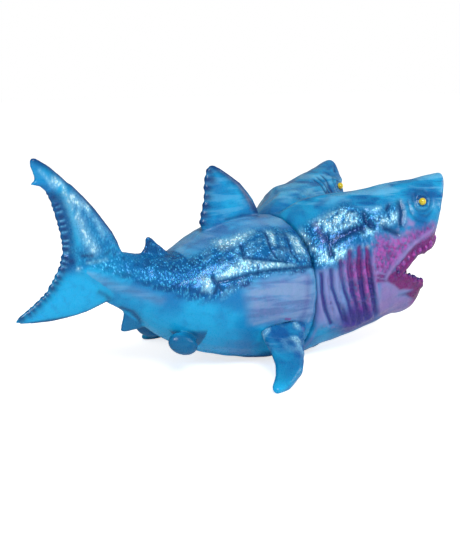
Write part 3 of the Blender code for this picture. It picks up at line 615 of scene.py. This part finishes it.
DORSAL_TRAIL = [(-42.4, 101.7), (-43.4, 94.1), (-44.6, 84.1), (-46.8, 76.2), (-49.2, 69.0)]
STOCK_PALE = [(-114.3, 57.0), (-104.8, 52.2), (-98.7, 49.1), (-90.0, 46.0), (-80.0, 41.5)]
TRUNK_TOP = [
    (-124, 63.4), (-104, 67.0), (-85, 63.2), (-65, 61.2), (-55, 65.2), (-43, 71.0), (-29, 74.8), (-15, 75.8),
    (0, 74.4),
]
TRUNK_BOTTOM = [
    (-124, 57.0), (-112, 48.6), (-104, 42.5), (-95, 37.0), (-85, 29.2), (-75, 21.4), (-65, 15.0), (-55, 0.0),
]
LAVENDER_PATCH = [(-42, 47), (-24, 50), (-3, 50), (-2, 26), (-20, 26), (-38, 28)]
print("on the body:", len(BODY_CREASES), "creases and", len(HIDE_HIGHLIGHTS), "bright patches")

# %% [markdown]
# The tail fin has lines of its own: its two leading edges, its knobbly band, its rays, the
# painted highlight streaks between them and a strip of painted glow.

# %% Lines of the tail
TAIL_LEAD = [
    (-92.0, 61.8), (-94.6, 68.5), (-98.0, 75.0), (-102.6, 81.0), (-107.2, 87.0), (-112.8, 93.0),
    (-119.7, 99.2), (-126.2, 105.0), (-134.4, 110.8), (-137.5, 112.1),
]
TAIL_BAND = [
    (-131.2, 96.5), (-129.0, 95.3), (-126.3, 89.3), (-124.0, 80.2), (-122.9, 73.0), (-123.3, 65.4),
    (-125.7, 59.1), (-129.4, 53.5), (-133.7, 49.2), (-140.4, 43.6), (-146.7, 40.0),
]
TAIL_LOW_RIM = [(-146.0, 36.9), (-119.0, 37.2), (-112.0, 38.4), (-105.0, 40.6), (-98.0, 43.4)]
# Painted highlight streaks along the rays, each with a width and a strength.
TAIL_HIGHLIGHTS = [
    ([(-128.2, 101.8), (-122.0, 95.4), (-117.7, 91.6), (-112.4, 88.0)], 2.2, 1.0),
    ([(-120.8, 92.0), (-117.2, 83.3), (-114.0, 75.4), (-109.6, 68.0)], 2.7, 0.85),
    ([(-134.6, 106.5), (-131.8, 103.0), (-129.2, 98.8)], 0.9, 0.6),
    ([(-113.8, 88.4), (-107.5, 80.8), (-104.3, 73.8)], 1.3, 0.65),
    ([(-113.0, 62.3), (-108.5, 62.3), (-103.0, 62.9)], 0.8, 0.6),
]
# A cyan strip that gets painted glow and no pearl.
TAIL_CYAN = [(-124.2, 96.5), (-121.0, 87.7), (-118.7, 79.9), (-117.6, 71.4), (-117.4, 61.8)]
TAIL_RAYS = [
    [(-127.0, 101.0), (-121.8, 92.3), (-118.2, 83.5), (-115.0, 77.5), (-109.6, 67.5)],
    [(-119.5, 97.7), (-111.0, 86.0), (-105.6, 77.9), (-101.5, 69.0)],
    [(-122.5, 94.0), (-119.2, 80.0), (-118.0, 66.0)],
]
print("on the tail:", len(TAIL_RAYS), "rays and", len(TAIL_HIGHLIGHTS), "lights")

# %% [markdown]
# Each fin is found by its place past the top or bottom line of the trunk. The hide lies
# between two drawn lines on the flank, and noise makes its edges ragged.

# %% Fins and hide of the body
body = skins["body"]
points = coordinates(body.data)
x, y, z = points[:, 0], points[:, 1], points[:, 2]
past_top = z - along_line(x, TRUNK_TOP)
past_bottom = z - along_line(x, TRUNK_BOTTOM)
dorsal = fade(-0.5, 1.5, past_top) * (x > -56) * (x < -4)
rear_dorsal = fade(-0.5, 1.0, past_top) * (x < -62) * (x > -86)
tail = fade(-98, -103, x + 0.55 * np.maximum(z - 66, 0)) * (np.abs(y) < 4.2)
tail = np.maximum(tail, (x < -90) * fade(67, 70, z))
anal = fade(0.5, -1.0, past_bottom) * (x < -70) * (x > -100) * (np.abs(y) < 3.5)
pelvic = (np.abs(np.abs(y) - 15.5) < 5.5) * (np.abs(x + 68.5) < 11) * fade(26.0, 23.0, z)
any_fin = most([dorsal, rear_dorsal, tail, anal])
hide_low = along_line(x, HIDE_LOW[::-1])
hide_high = along_line(x, HIDE_HIGH[::-1])
grain = waves(points, 6.0, 21)
hide = fade(-1.8, 1.8, z - hide_low + 1.2 * grain) * fade(1.8, -1.8, z - hide_high + grain)
hide *= 1 - dorsal
tail_hide = tail * fade(58.0, 64.0, z) * fade(100.0, 88.0, z)
side = fade(3.0, 8.0, np.abs(y))
seam = fade(-3.0, -0.1, x)
print("share of the body under hide", round(float(hide.mean()), 3))

# %% [markdown]
# The tail band gets a knob every few millimetres along its run, and the rear edge of the
# dorsal fin gets scallops in the same way. The flat belly isn't pushed, so the figure stands.

# %% Push the body
KNOB_PITCH = 3.2
SCALLOP_PITCH = 4.4
crease, crease_depth = creases(x, z, BODY_CREASES, side)
band_gap, band_run = line_distance(x, z, TAIL_BAND)
band_run += 0.5 * np.sin(band_run * 0.7)
band = bell(band_gap, 0.0, 2.6) * tail
knobs = 0.5 + 0.5 * np.sin(band_run * 2 * pi / KNOB_PITCH)
rays = most(stroke(x, z, line, 1.5) for line in TAIL_RAYS) * tail
trail_gap, trail_run = line_distance(x, z, DORSAL_TRAIL)
trail = bell(trail_gap, 0.0, 3.6) * dorsal
scallop = 0.5 + 0.5 * np.sin(trail_run * 2 * pi / SCALLOP_PITCH)
wrinkle = waves(points * np.array([1.0, 1.0, 0.4]), 3.4, 25)
heights = 0.2 * wrinkle * hide - crease_depth + 0.45 * rays
heights += band * (0.65 * knobs - 0.5) * fade(38.0, 54.0, z) + trail * (0.55 * scallop - 0.25)
heights += 0.1 * waves(points, 11.0, 29) * (1 - any_fin) - 0.45 * seam
heights[z < 0.3] = 0.0
push(body, heights)
relax(body.data, 1)
print("body sculpted, deepest push", round(float(heights.min()), 2), "mm")

# %% [markdown]
# The marks on the body follow the same scheme. The rims of the fins get navy painted shade, as
# thick clear vinyl looks dark at its edges. It lies on both faces, so it is measured from the
# drawn edge lines and not from the normals. Some dark spots are painted shadow at fin roots.

# %% Film, painted rim shade and dark spots on the body
lavender = inside(x, z, LAVENDER_PATCH, 9.0) * side
ridge_film = fade(-3, 3, z - hide_high) * (x < 0) * (x > -70) * (1 - dorsal)
pool = stroke(x, z, [(-19.0, 27.4), (-16.4, 27.0)], 0.7) * side
above_fin = stroke(x, z, [(-36.0, 26.9), (-27.2, 28.2), (-19.0, 28.6), (-12.4, 27.0)], 1.2) * side
# A painted highlight along the lower part of the seam.
seam_highlight = stroke(x, z, [(-1.2, 50.0), (-2.0, 36.7), (-4.0, 24.0)], 0.8) * side
seam_violet = stroke(x, z, [(-5.5, 48.0), (-7.0, 34.0), (-9.3, 24.0)], 1.9) * side
# Painted shade along the rims of the fins and in the root crease of the anal fin.
rim_shade = most([
    stroke(x, z, TAIL_LEAD, 2.1) * tail,
    0.9 * stroke(x, z, TAIL_LOW_RIM, 1.0) * tail,
    stroke(x, z, DORSAL_LEAD, 2.3) * dorsal,
    0.9 * stroke(x, z, [(-77.0, 70.8), (-70.4, 67.0), (-63.0, 60.6)], 1.5) * rear_dorsal,
    0.8 * stroke(x, z, [(-77.0, 70.0), (-80.4, 63.0)], 1.3) * rear_dorsal,
    0.8 * stroke(x, z, [(-97.5, 25.0), (-93.5, 37.0)], 1.8) * anal,
    0.7 * stroke(x, z, [(-97.0, 25.6), (-84.0, 27.0)], 1.3) * anal,
    0.75 * stroke(x, z, [(-95.2, 38.0), (-90.0, 35.9), (-86.5, 31.8), (-84.5, 28.4)], 0.9) * (np.abs(y) < 7),
])
# Dark spots on the tail and the dorsal fin, and painted shadow where fins meet the trunk.
dark_spots_and_shadows = most([
    0.9 * spot(x, z, (-121.0, 63.6), 2.6, 2.4) * tail,
    0.8 * stroke(x, z, [(-115.6, 65.9), (-110.7, 65.4)], 1.1),
    0.6 * stroke(x, z, [(-107.4, 47.6), (-104.2, 45.9), (-101.7, 43.4)], 1.2),
    0.8 * spot(x, z, (-41.0, 96.0), 2.4, 3.0) * dorsal,
    0.6 * stroke(x, z, [(-34.1, 75.4), (-22.5, 76.6), (-13.4, 75.6)], 0.8),
])
print("share of the body in a navy rim", round(float(rim_shade.mean()), 3))

# %% [markdown]
# Painted highlights come on top: streaks along the tail rays, bright patches on the hide, and a
# light dot between each pair of knobs of the tail band. The cyan strip on the tail and a spot on
# the dorsal fin get painted glow.

# %% Painted highlights and glow on the body
# Painted highlight streaks along the tail rays.
tail_highlights = most(strength * stroke(x, z, line, width) for line, width, strength in TAIL_HIGHLIGHTS)
tail_highlights *= tail * fade(-1.6, -0.2, wrinkle)
tail_cyan = stroke(x, z, TAIL_CYAN, 1.9) * tail
# Painted highlights on the hide: inside the outlines, and in patches.
bright = most(inside(x, z, outline, 3.0) for outline in HIDE_HIGHLIGHTS)
patches = fade(-0.2, 0.8, wrinkle + 0.6 * waves(points, 12.0, 37))
wide_band = 0.75 * bell(band_gap, 0.0, 4.6) * tail * fade(56, 60, z)
band_ink = np.maximum(band * (0.6 + 0.4 * knobs), wide_band) * fade(98.0, 95.0, z)
# Painted highlight dots between the knobs of the tail band.
band_highlight_dots = bell(band_gap, 0.6, 0.9) * fade(0.7, 1.0, 1 - knobs)
band_highlight_dots *= tail * fade(93, 88, z) * fade(55, 62, z)
# A painted highlight dot on the tail.
tail_highlight_dot = np.exp(-(((x + 117.8) ** 2 + (z - 59.9) ** 2) / 1.4))
# A painted glow on the dorsal fin.
glow = spot(x, z, (-31.0, 83.0), 7.0, 7.0) * dorsal
stock_pale = stroke(x, z, STOCK_PALE, 2.3) * (1 - tail) * (1 - hide)
print("share of the body that is bright", round(float((bright * side).mean()), 3))

# %% [markdown]
# The areas above now join into one mask for each paint or painted light, with a strength for each area.

# %% Body masks
trunk_pearl = hide * (1 - 0.5 * crease) * (0.5 + 0.5 * fade(-102, -70, x))
mask(body, "pearl", most([trunk_pearl, 0.6 * tail_hide * (1 - band) * (1 - tail_cyan)]))
mask(body, "rose", most([0.95 * pool, 0.12 * lavender]))
# Navy paint and painted shade: shade in the creases, on the fin rims and at the fin roots, beside the dark
# tail band, dark fins, the seam line and a random darker tone.
mask(body, "ink", most([
    0.85 * crease, 0.95 * band_ink * (1 - band_highlight_dots), 0.95 * rim_shade, dark_spots_and_shadows, 0.95 * trail * (0.5 + 0.5 * scallop),
    0.4 * fade(0.1, 0.9, grain) * hide, 0.62 * pelvic, 0.35 * rear_dorsal, 0.6 * anal,
    0.6 * seam * fade(46.0, 56.0, z),
]))
mask(body, "pale", most([
    0.8 * lavender, 0.5 * ridge_film, 0.42 * stock_pale, 0.85 * above_fin * (1 - pool),
    0.8 * seam_highlight,
]))
mask(body, "violet", 0.28 * seam_violet)
mask(body, "brushed", most([
    lavender, ridge_film, 0.55 * dorsal, 0.7 * stock_pale, 0.6 * rear_dorsal,
]))
# Painted highlights on the hide, along the tail rays and on the tail band.
mask(body, "painted_highlight", most([
    hide * side * (1 - crease) * np.maximum(bright, 0.3 * patches * fade(-70, -50, x)), tail_highlights,
    0.6 * band_highlight_dots, 0.9 * tail_highlight_dot,
]))
mask(body, "deep", most([0.12 * dorsal, 0.3 * pelvic, 0.15 * anal]))
# Painted glow on the tail lobes, the cyan tail strip, the rear belly and a spot of the dorsal fin.
mask(body, "painted_glow", most([
    tail * fade(62, 54, z), tail_cyan, fade(44.0, 24.0, z) * fade(-30.0, -60.0, x), glow,
    0.25 * tail * fade(98.0, 104.0, z),
]))
print("masks on the body", [layer.name for layer in body.data.attributes if layer.data_type == "FLOAT"])

# %% [markdown]
# ## The pectoral fins
# They are cast in clear deep blue, glossy and almost bare of paint, with a pale pearly film
# at the root and painted highlights over it, and a painted glow towards the tip. A few shallow
# swellings keep the blade from looking machined.

# %% Pectoral fins
FIN_ROOT = (-14.0, 33.0, 20.0)  # millimetres, mirrored for the near fin
FIN_WAY = (-0.68, 0.6, -0.42)  # from the root towards the tip
for name in ("pectoral_fin_right", "pectoral_fin_left"):
    piece = skins[name]
    points = coordinates(piece.data)
    mirrored = np.column_stack([points[:, 0], np.abs(points[:, 1]), points[:, 2]])
    run = (mirrored - FIN_ROOT) @ FIN_WAY
    push(piece, 0.15 * waves(points, 7.0, 41) + 0.12 * waves(points, 3.2, 42) * fade(24, 14, run))
    film_and_highlight = fade(-0.3, 0.5, waves(points * np.array([1.0, 1.0, 0.6]), 8.0, 43))
    film_and_highlight *= fade(21, 9, run)
    mask(piece, "pearl", 0.4 * film_and_highlight)
    mask(piece, "brushed", fade(26, 10, run))
    mask(piece, "rose", 0.3 * fade(2.0, -1.0, run) * fade(0.2, 0.8, waves(points, 6.0, 44)))
    mask(piece, "ink", 0.3 * fade(0.1, 0.9, waves(points, 12.0, 45)) * fade(30, 14, run))
    mask(piece, "pale", 0.25 * film_and_highlight)
    mask(piece, "violet", 0.0 * run)
    # Painted highlights at the root.
    mask(piece, "painted_highlight", 0.75 * film_and_highlight)
    mask(piece, "deep", 0.35 * fade(46.0, 36.0, run))
    # Painted glow towards the tip.
    mask(piece, "painted_glow", fade(28.0, 42.0, run))
    print(name, "is", round(float(np.ptp(run))), "mm long from plug to tip")

# %% [markdown]
# ## The vinyl material
# Translucent vinyl lets light wander inside it, so the base is a Principled shader with some
# subsurface scattering. Paint goes on top in layers, each mixed in by its mask, and noise
# breaks every mask edge up the way a spray does. Some layers are painted light and not paint:
# highlights with a glint, a glow, and navy shade. The hide is a leather of small tall domes
# made from a cell pattern: it raises the bump, and the pits between the domes stay navy.

# %% A node helper
def put(node, values):
    """Sets plain values on the sockets of a node."""
    for socket, value in values.items():
        node.inputs[socket].default_value = value


class Nodes:
    """Short names for building a shader."""

    def __init__(self, name):
        self.material = bpy.data.materials.new(name)
        self.material.use_nodes = True
        self.tree = self.material.node_tree
        self.shader = self.tree.nodes["Principled BSDF"]
        self.object = self.add("ShaderNodeTexCoord").outputs["Object"]

    def add(self, kind, **settings):
        node = self.tree.nodes.new(kind)
        for key, value in settings.items():
            setattr(node, key, value)
        return node

    def link(self, source, target):
        self.tree.links.new(source, target)

    def value(self, socket, given):
        if isinstance(given, (int, float)):
            socket.default_value = given
        else:
            self.link(given, socket)

    def mask(self, name):
        return self.add("ShaderNodeAttribute", attribute_name=name).outputs["Fac"]

    def math(self, operation, first, second=0.0, third=0.0):
        node = self.add("ShaderNodeMath", operation=operation)
        self.value(node.inputs[0], first)
        self.value(node.inputs[1], second)
        if operation == "MULTIPLY_ADD":
            self.value(node.inputs[2], third)
        return node.outputs[0]

    def times(self, first, second):
        return self.math("MULTIPLY", first, second)

    def ramp(self, value, low, high, to_low=0.0, to_high=1.0):
        node = self.add("ShaderNodeMapRange", interpolation_type="SMOOTHSTEP")
        self.value(node.inputs["Value"], value)
        put(node, {"From Min": low, "From Max": high, "To Min": to_low, "To Max": to_high})
        return node.outputs["Result"]

    def scaled(self, stretch):
        turn = self.add("ShaderNodeMapping")
        put(turn, {"Scale": stretch})
        self.link(self.object, turn.inputs["Vector"])
        return turn.outputs["Vector"]

    def noise(self, scale, detail=2.0, distortion=0.0, stretch=None):
        node = self.add("ShaderNodeTexNoise")
        self.link(self.scaled(stretch) if stretch else self.object, node.inputs["Vector"])
        put(node, {"Scale": scale, "Detail": detail, "Distortion": distortion, "Roughness": 0.5})
        return node.outputs["Fac"]

    def domes(self, scale, stretch, wander):
        """Rounded cells, 1 at each middle and 0 in the pits, with their places made uneven."""
        where = self.scaled(stretch)
        shift = self.add("ShaderNodeTexNoise")
        put(shift, {"Scale": scale * 0.5})
        self.link(where, shift.inputs["Vector"])
        scale_shift = self.add("ShaderNodeVectorMath", operation="MULTIPLY_ADD")
        self.link(shift.outputs["Color"], scale_shift.inputs[0])
        put(scale_shift, {1: (wander, wander, wander)})
        self.link(where, scale_shift.inputs[2])
        cells = self.add("ShaderNodeTexVoronoi", feature="SMOOTH_F1")
        put(cells, {"Scale": scale, "Smoothness": 0.35})
        self.link(scale_shift.outputs["Vector"], cells.inputs["Vector"])
        return self.ramp(cells.outputs["Distance"], 0.62, 0.05)

    def mix(self, amount, first, second):
        node = self.add("ShaderNodeMix", data_type="RGBA")
        self.value(node.inputs["Factor"], amount)
        for socket, given in ((node.inputs[6], first), (node.inputs[7], second)):
            if isinstance(given, tuple):
                socket.default_value = (*given, 1.0)
            else:
                self.link(given, socket)
        return node.outputs[2]


print("the helper has", len([name for name in vars(Nodes) if name[0] != "_"]), "functions")

# %% [markdown]
# The colours are linear, and most are darker than they look, because the soft vinyl and the
# bright surround lighten them. The same recipe then serves all four mouldings.

# %% Colours and the vinyl
CYAN = (0.008, 0.38, 0.70)
BLUE = (0.003, 0.18, 0.46)
DEEP_BLUE = (0.002, 0.09, 0.30)
# NAVY serves both navy paint and painted shade.
NAVY = (0.001, 0.018, 0.12)
HIDE_PIT = (0.002, 0.085, 0.30)
HIDE_TOP = (0.040, 0.35, 0.64)
# SKY is the painted highlight colour and also the colour of light brushed streaks; GLINT is a painted glint.
SKY = (0.24, 0.62, 0.86)
GLINT = (0.62, 0.88, 0.96)
LAVENDER = (0.20, 0.34, 0.56)
LILAC = (0.30, 0.22, 0.50)
MAGENTA = (0.17, 0.008, 0.16)
PINK = (0.42, 0.075, 0.40)
WINE = (0.085, 0.003, 0.055)
VIOLET = (0.050, 0.012, 0.23)
FIN_BLUE = (0.003, 0.13, 0.40)
HEAD_BLUE = (0.004, 0.15, 0.40)
HEAD_CYAN = (0.010, 0.33, 0.62)


def vinyl(name, base, lighter, film_and_highlight=LAVENDER):
    """Translucent vinyl with all the layers of paint, painted highlight, glint, glow and shade that the masks
    ask for.
    """
    n = Nodes(name)
    pearl, rose, ink = n.mask("pearl"), n.mask("rose"), n.mask("ink")
    pale, violet, deep, painted_glow = n.mask("pale"), n.mask("violet"), n.mask("deep"), n.mask("painted_glow")
    painted_highlight = n.mask("painted_highlight")
    domes = n.domes(860.0, (1.0, 1.0, 0.55), 0.0009)
    coarse = n.noise(520.0, 3.0, 0.8, (1.0, 1.0, 0.6))
    fine = n.noise(1500.0, 2.0, 0.3)
    cloud = n.noise(70.0, 3.0, 0.4)
    streak = n.noise(170.0, 3.0, 0.5, (0.22, 0.22, 1.7))
    mottle = n.noise(260.0, 3.0, 0.6)
    relief = n.math("MULTIPLY_ADD", domes, 0.55, n.times(coarse, 0.45))

    colour = n.mix(n.ramp(cloud, 0.35, 0.7), base, lighter)
    # Painted glow: the lighter colour where the glow mask is strong.
    colour = n.mix(painted_glow, colour, lighter)
    colour = n.mix(n.times(n.ramp(mottle, 0.5, 0.75), 0.35), colour, base)
    brushed = n.mask("brushed")
    colour = n.mix(n.times(brushed, n.ramp(streak, 0.5, 0.66, 0.0, 0.75)), colour, DEEP_BLUE)
    colour = n.mix(n.times(brushed, n.ramp(streak, 0.5, 0.36, 0.0, 0.4)), colour, SKY)
    colour = n.mix(n.times(deep, 0.8), colour, NAVY)
    gaps = n.times(brushed, n.ramp(streak, 0.42, 0.6, 0.0, -0.5))
    # The pale film colour, which also paints some highlights.
    colour = n.mix(n.times(pale, n.math("ADD", gaps, 1.0)), colour, film_and_highlight)
    hide = n.mix(n.ramp(relief, 0.25, 0.62), HIDE_PIT, HIDE_TOP)
    hide = n.mix(n.ramp(cloud, 0.35, 0.65, 0.45, 0.95), BLUE, hide)
    colour = n.mix(n.times(pearl, 0.92), colour, hide)
    # Painted highlights in SKY, with a painted glint in GLINT on the brightest.
    colour = n.mix(n.times(painted_highlight, n.ramp(relief, 0.12, 0.45, 0.5, 1.0)), colour, SKY)
    glint = n.times(n.ramp(painted_highlight, 0.45, 1.0), n.ramp(relief, 0.3, 0.55, 0.1, 0.85))
    colour = n.mix(glint, colour, GLINT)
    blotches = n.math("MULTIPLY_ADD", coarse, 0.5, n.times(mottle, 0.5))
    blotches = n.times(n.ramp(blotches, 0.4, 0.62), n.math("SUBTRACT", 1.0, deep))
    rose_paint = n.mix(blotches, MAGENTA, PINK)
    rose_paint = n.mix(n.times(deep, 0.45), rose_paint, WINE)
    colour = n.mix(n.times(rose, n.ramp(coarse, 0.25, 0.6, 0.75, 1.0)), colour, rose_paint)
    colour = n.mix(violet, colour, VIOLET)
    # Navy paint and painted shade.
    colour = n.mix(n.times(ink, 0.92), colour, NAVY)
    n.link(colour, n.shader.inputs["Base Color"])

    lustre = n.times(n.math("MAXIMUM", pearl, painted_highlight), 0.35)
    n.link(lustre, n.shader.inputs["Metallic"])
    n.link(n.ramp(fine, 0.3, 0.7, 0.24, 0.4), n.shader.inputs["Roughness"])
    put(n.shader, {
        "Specular IOR Level": 0.22, "Coat Weight": 0.12, "Coat Roughness": 0.1,
        "Subsurface Weight": 0.35, "Subsurface Radius": (0.2, 0.7, 1.0), "Subsurface Scale": 0.004,
    })

    amount = n.math("MULTIPLY_ADD", n.math("MAXIMUM", pearl, n.times(painted_highlight, 0.5)), 0.8, 0.06)
    amount = n.math("ADD", amount, n.times(rose, 0.2))
    bump = n.add("ShaderNodeBump")
    put(bump, {"Distance": 0.0006})
    n.link(amount, bump.inputs["Strength"])
    n.link(n.math("MULTIPLY_ADD", fine, 0.12, relief), bump.inputs["Height"])
    n.link(bump.outputs["Normal"], n.shader.inputs["Normal"])
    return n.material


print("palest colour", GLINT, "and darkest", NAVY)

# %% [markdown]
# Each skin now gets its vinyl, rides on the packed body it belongs to, and takes the place of
# its CAD solid.

# %% Vinyl on the skins
looks = {
    "body": ("body_vinyl", vinyl("blue vinyl of the body", BLUE, CYAN)),
    "two_headed_front": ("front_vinyl", vinyl("blue vinyl of the heads", HEAD_BLUE, HEAD_CYAN, LILAC)),
    "pectoral_fin_right": ("right_fin_vinyl", vinyl("deep vinyl of the right fin", FIN_BLUE, CYAN)),
    "pectoral_fin_left": ("left_fin_vinyl", vinyl("deep vinyl of the left fin", FIN_BLUE, CYAN)),
}
for name, (slot_name, look) in looks.items():
    piece = skins[name]
    piece.data.materials.append(look)
    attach(piece, "root")
    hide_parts(name)
    print(name, "wears", look.name)

# %% [markdown]
# ## Teeth and eyes
# The soft skin swallowed the small teeth of the solids, so blunt tooth bumps are laid along
# the jaws again. Each one is a small sphere, drawn out along the bite, that sits on the
# nearest spot of the gum. The eyes are beads dotted with yellow paint and sealed with gloss.

# %% Tooth bumps
UPPER_BITE = [
    (76.5, 20.8, 49.0), (83.9, 19.6, 54.8), (89.1, 18.0, 57.4), (93.6, 16.6, 58.3), (97.4, 14.2, 60.2),
    (100.6, 10.4, 61.6), (102.6, 5.8, 62.2), (103.2, 0.0, 62.4),
]
LOWER_BITE = [
    (77.0, 20.9, 45.2), (83.1, 18.8, 43.6), (87.3, 17.4, 41.6), (90.9, 15.3, 39.9), (93.6, 11.4, 38.2),
    (95.2, 6.4, 37.0), (95.7, 0.0, 36.6),
]
TOOTH_GAP = 3.9  # millimetres, like the values below
TOOTH_WIDTH = 1.25
TOOTH_UNEVEN = 0.25
TOOTH_OUT = 0.5  # towards the other jaw
TOOTH_IN = 0.35  # into the gum
TOOTH_STRETCH = Vector((1, 1, 1.45))


def spaced(line, gap):
    """Points at an even spacing along a bent line."""
    line = np.array(line)
    steps = np.linalg.norm(np.diff(line, axis=0), axis=1)
    run = np.concatenate([[0.0], np.cumsum(steps)])
    places = np.linspace(0.0, run[-1], int(run[-1] / gap) + 1)
    return np.stack([np.interp(places, run, line[:, axis]) for axis in range(3)], axis=1)


def from_head(along, outward, height, side):
    """The world place, in millimetres, of a point in the terms of one head."""
    ahead = along * cos(HEAD_YAW) - outward * sin(HEAD_YAW) - PIVOT_BACK
    out = along * sin(HEAD_YAW) + outward * cos(HEAD_YAW)
    return Vector((ahead, side * out, height))


def smooth_piece(name, bm, material):
    """Turns finished geometry into a smooth object of the scene."""
    mesh = bpy.data.meshes.new(name)
    bm.to_mesh(mesh)
    bm.free()
    mesh.polygons.foreach_set("use_smooth", np.ones(len(mesh.polygons), bool))
    mesh.materials.append(material)
    piece = bpy.data.objects.new(name, mesh)
    bpy.context.scene.collection.objects.link(piece)
    return piece


gum_surface = BVHTree.FromObject(front, bpy.context.evaluated_depsgraph_get())
bm = bmesh.new()
tip = bm.verts.layers.float.new("tip")
for side in (-1, 1):
    for bite, way in ((UPPER_BITE, -1.0), (LOWER_BITE, 1.0)):
        right_half = spaced(bite, TOOTH_GAP)
        left_half = right_half[-2::-1] * np.array([1.0, -1.0, 1.0])
        for number, (along, outward, height) in enumerate(np.concatenate([right_half, left_half])):
            wanted = from_head(along, outward, height, side)
            seat, normal, _, _ = gum_surface.find_nearest(wanted * MM)
            radius = (TOOTH_WIDTH + TOOTH_UNEVEN * sin(number * 2.4)) * MM
            place = seat + Vector((0, 0, way * TOOTH_OUT * MM)) - normal * TOOTH_IN * MM
            shape = Matrix.LocRotScale(place, None, TOOTH_STRETCH)
            made = bmesh.ops.create_uvsphere(bm, u_segments=16, v_segments=10, radius=radius, matrix=shape)
            for vert in made["verts"]:
                vert[tip] = way * (vert.co.z - seat.z) / radius
teeth = smooth_piece("teeth", bm, looks["two_headed_front"][1])
tips = np.zeros(len(teeth.data.vertices))
teeth.data.attributes["tip"].data.foreach_get("value", tips)
lower = fade(52.0, 46.0, coordinates(teeth.data)[:, 2])
for paint in ("pearl", "painted_highlight", "pale", "painted_glow", "brushed"):
    mask(teeth, paint, 0.0 * tips)
mask(teeth, "rose", 1.0 + 0.0 * tips)
mask(teeth, "violet", 0.35 * fade(0.2, 1.6, tips))
mask(teeth, "deep", 0.5 * lower)
mask(teeth, "ink", 0.85 * lower * fade(0.3, 1.4, tips))
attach(teeth, "root")
print("teeth", len(teeth.data.polygons), "faces")

# %% [markdown]
# The eyes are beads over the beads of the solids, one on each side of each head.

# %% Yellow eyes
EYE_OUT = 13.3  # millimetres from the middle plane of a head
EYE_RADIUS = 1.95
yellow = Nodes("yellow eye paint")
patch = yellow.noise(900.0, 2.0)
yellow.link(
    yellow.mix(yellow.ramp(patch, 0.3, 0.7), (0.60, 0.42, 0.01), (0.80, 0.68, 0.02)),
    yellow.shader.inputs["Base Color"],
)
put(yellow.shader, {"Roughness": 0.15, "Coat Weight": 0.6})

bm = bmesh.new()
for side in (-1, 1):
    for reach in (-1, 1):
        place = from_head(EYE[0], reach * EYE_OUT, EYE[1], side)
        made = bmesh.ops.create_uvsphere(bm, u_segments=40, v_segments=24, radius=EYE_RADIUS * MM)
        bmesh.ops.translate(bm, vec=place * MM, verts=made["verts"])
eyes = smooth_piece("eyes", bm, yellow.material)
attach(eyes, "root")
print("eyes", len(eyes.data.polygons), "faces")

# %% [markdown]
# ## Studio
# A pale floor, one big soft light over the camera's shoulder, a weak one for the snouts, and a
# bright surround. Camera rays that miss see plain white.

# %% Floor and surround
bpy.ops.mesh.primitive_plane_add(size=6.0, location=(0, 0, 0))
floor = bpy.context.object
floor.name = "floor"
paper = Nodes("paper")
put(paper.shader, {
    "Base Color": (0.92, 0.92, 0.92, 1), "Roughness": 0.9, "Emission Color": (1, 1, 1, 1),
})
camera_ray = paper.add("ShaderNodeLightPath").outputs["Is Camera Ray"]
paper.link(paper.times(camera_ray, 0.72), paper.shader.inputs["Emission Strength"])
floor.data.materials.append(paper.material)

world = bpy.data.worlds.new("surround")
world.use_nodes = True
tree = world.node_tree
surround = tree.nodes["Background"]
put(surround, {"Color": (0.95, 0.97, 1.0, 1), "Strength": 0.33})
white = tree.nodes.new("ShaderNodeBackground")
put(white, {"Color": (1, 1, 1, 1), "Strength": 1.0})
choose = tree.nodes.new("ShaderNodeMixShader")
path = tree.nodes.new("ShaderNodeLightPath")
tree.links.new(path.outputs["Is Camera Ray"], choose.inputs[0])
tree.links.new(surround.outputs[0], choose.inputs[1])
tree.links.new(white.outputs[0], choose.inputs[2])
tree.links.new(choose.outputs[0], tree.nodes["World Output"].inputs["Surface"])
bpy.context.scene.world = world
print("floor", floor.name, "and surround", world.name)

# %% [markdown]
# The lamps are large for their distance, which keeps the shadow on the floor soft. The camera
# was fitted to the photo.

# %% Lights and camera
def area_light(name, place, target, size, power):
    lamp = bpy.data.lights.new(name, "AREA")
    lamp.size = size
    lamp.energy = power
    holder = bpy.data.objects.new(name, lamp)
    holder.location = place
    holder.rotation_euler = (Vector(target) - Vector(place)).to_track_quat("-Z", "Y").to_euler()
    bpy.context.scene.collection.objects.link(holder)


area_light("key", (-0.35, -0.75, 0.75), (0, 0, 0.05), 0.45, 9.2)
area_light("side", (0.9, -0.45, 0.35), (0.03, 0, 0.06), 0.4, 1.9)

camera_data = bpy.data.cameras.new("camera")
camera_data.sensor_width = 36.0
camera_data.lens = 67.05
camera = bpy.data.objects.new("camera", camera_data)
camera.location = (-0.3386, -0.4192, 0.1557)
look = Vector((-0.0186, 0.0133, 0.0413)) - camera.location
camera.rotation_euler = look.to_track_quat("-Z", "Y").to_euler()
bpy.context.scene.collection.objects.link(camera)
bpy.context.scene.camera = camera
bpy.context.scene.view_settings.view_transform = "Standard"
print("camera stands", round(look.length * 1000), "mm from the point that it looks at")

# %% [markdown]
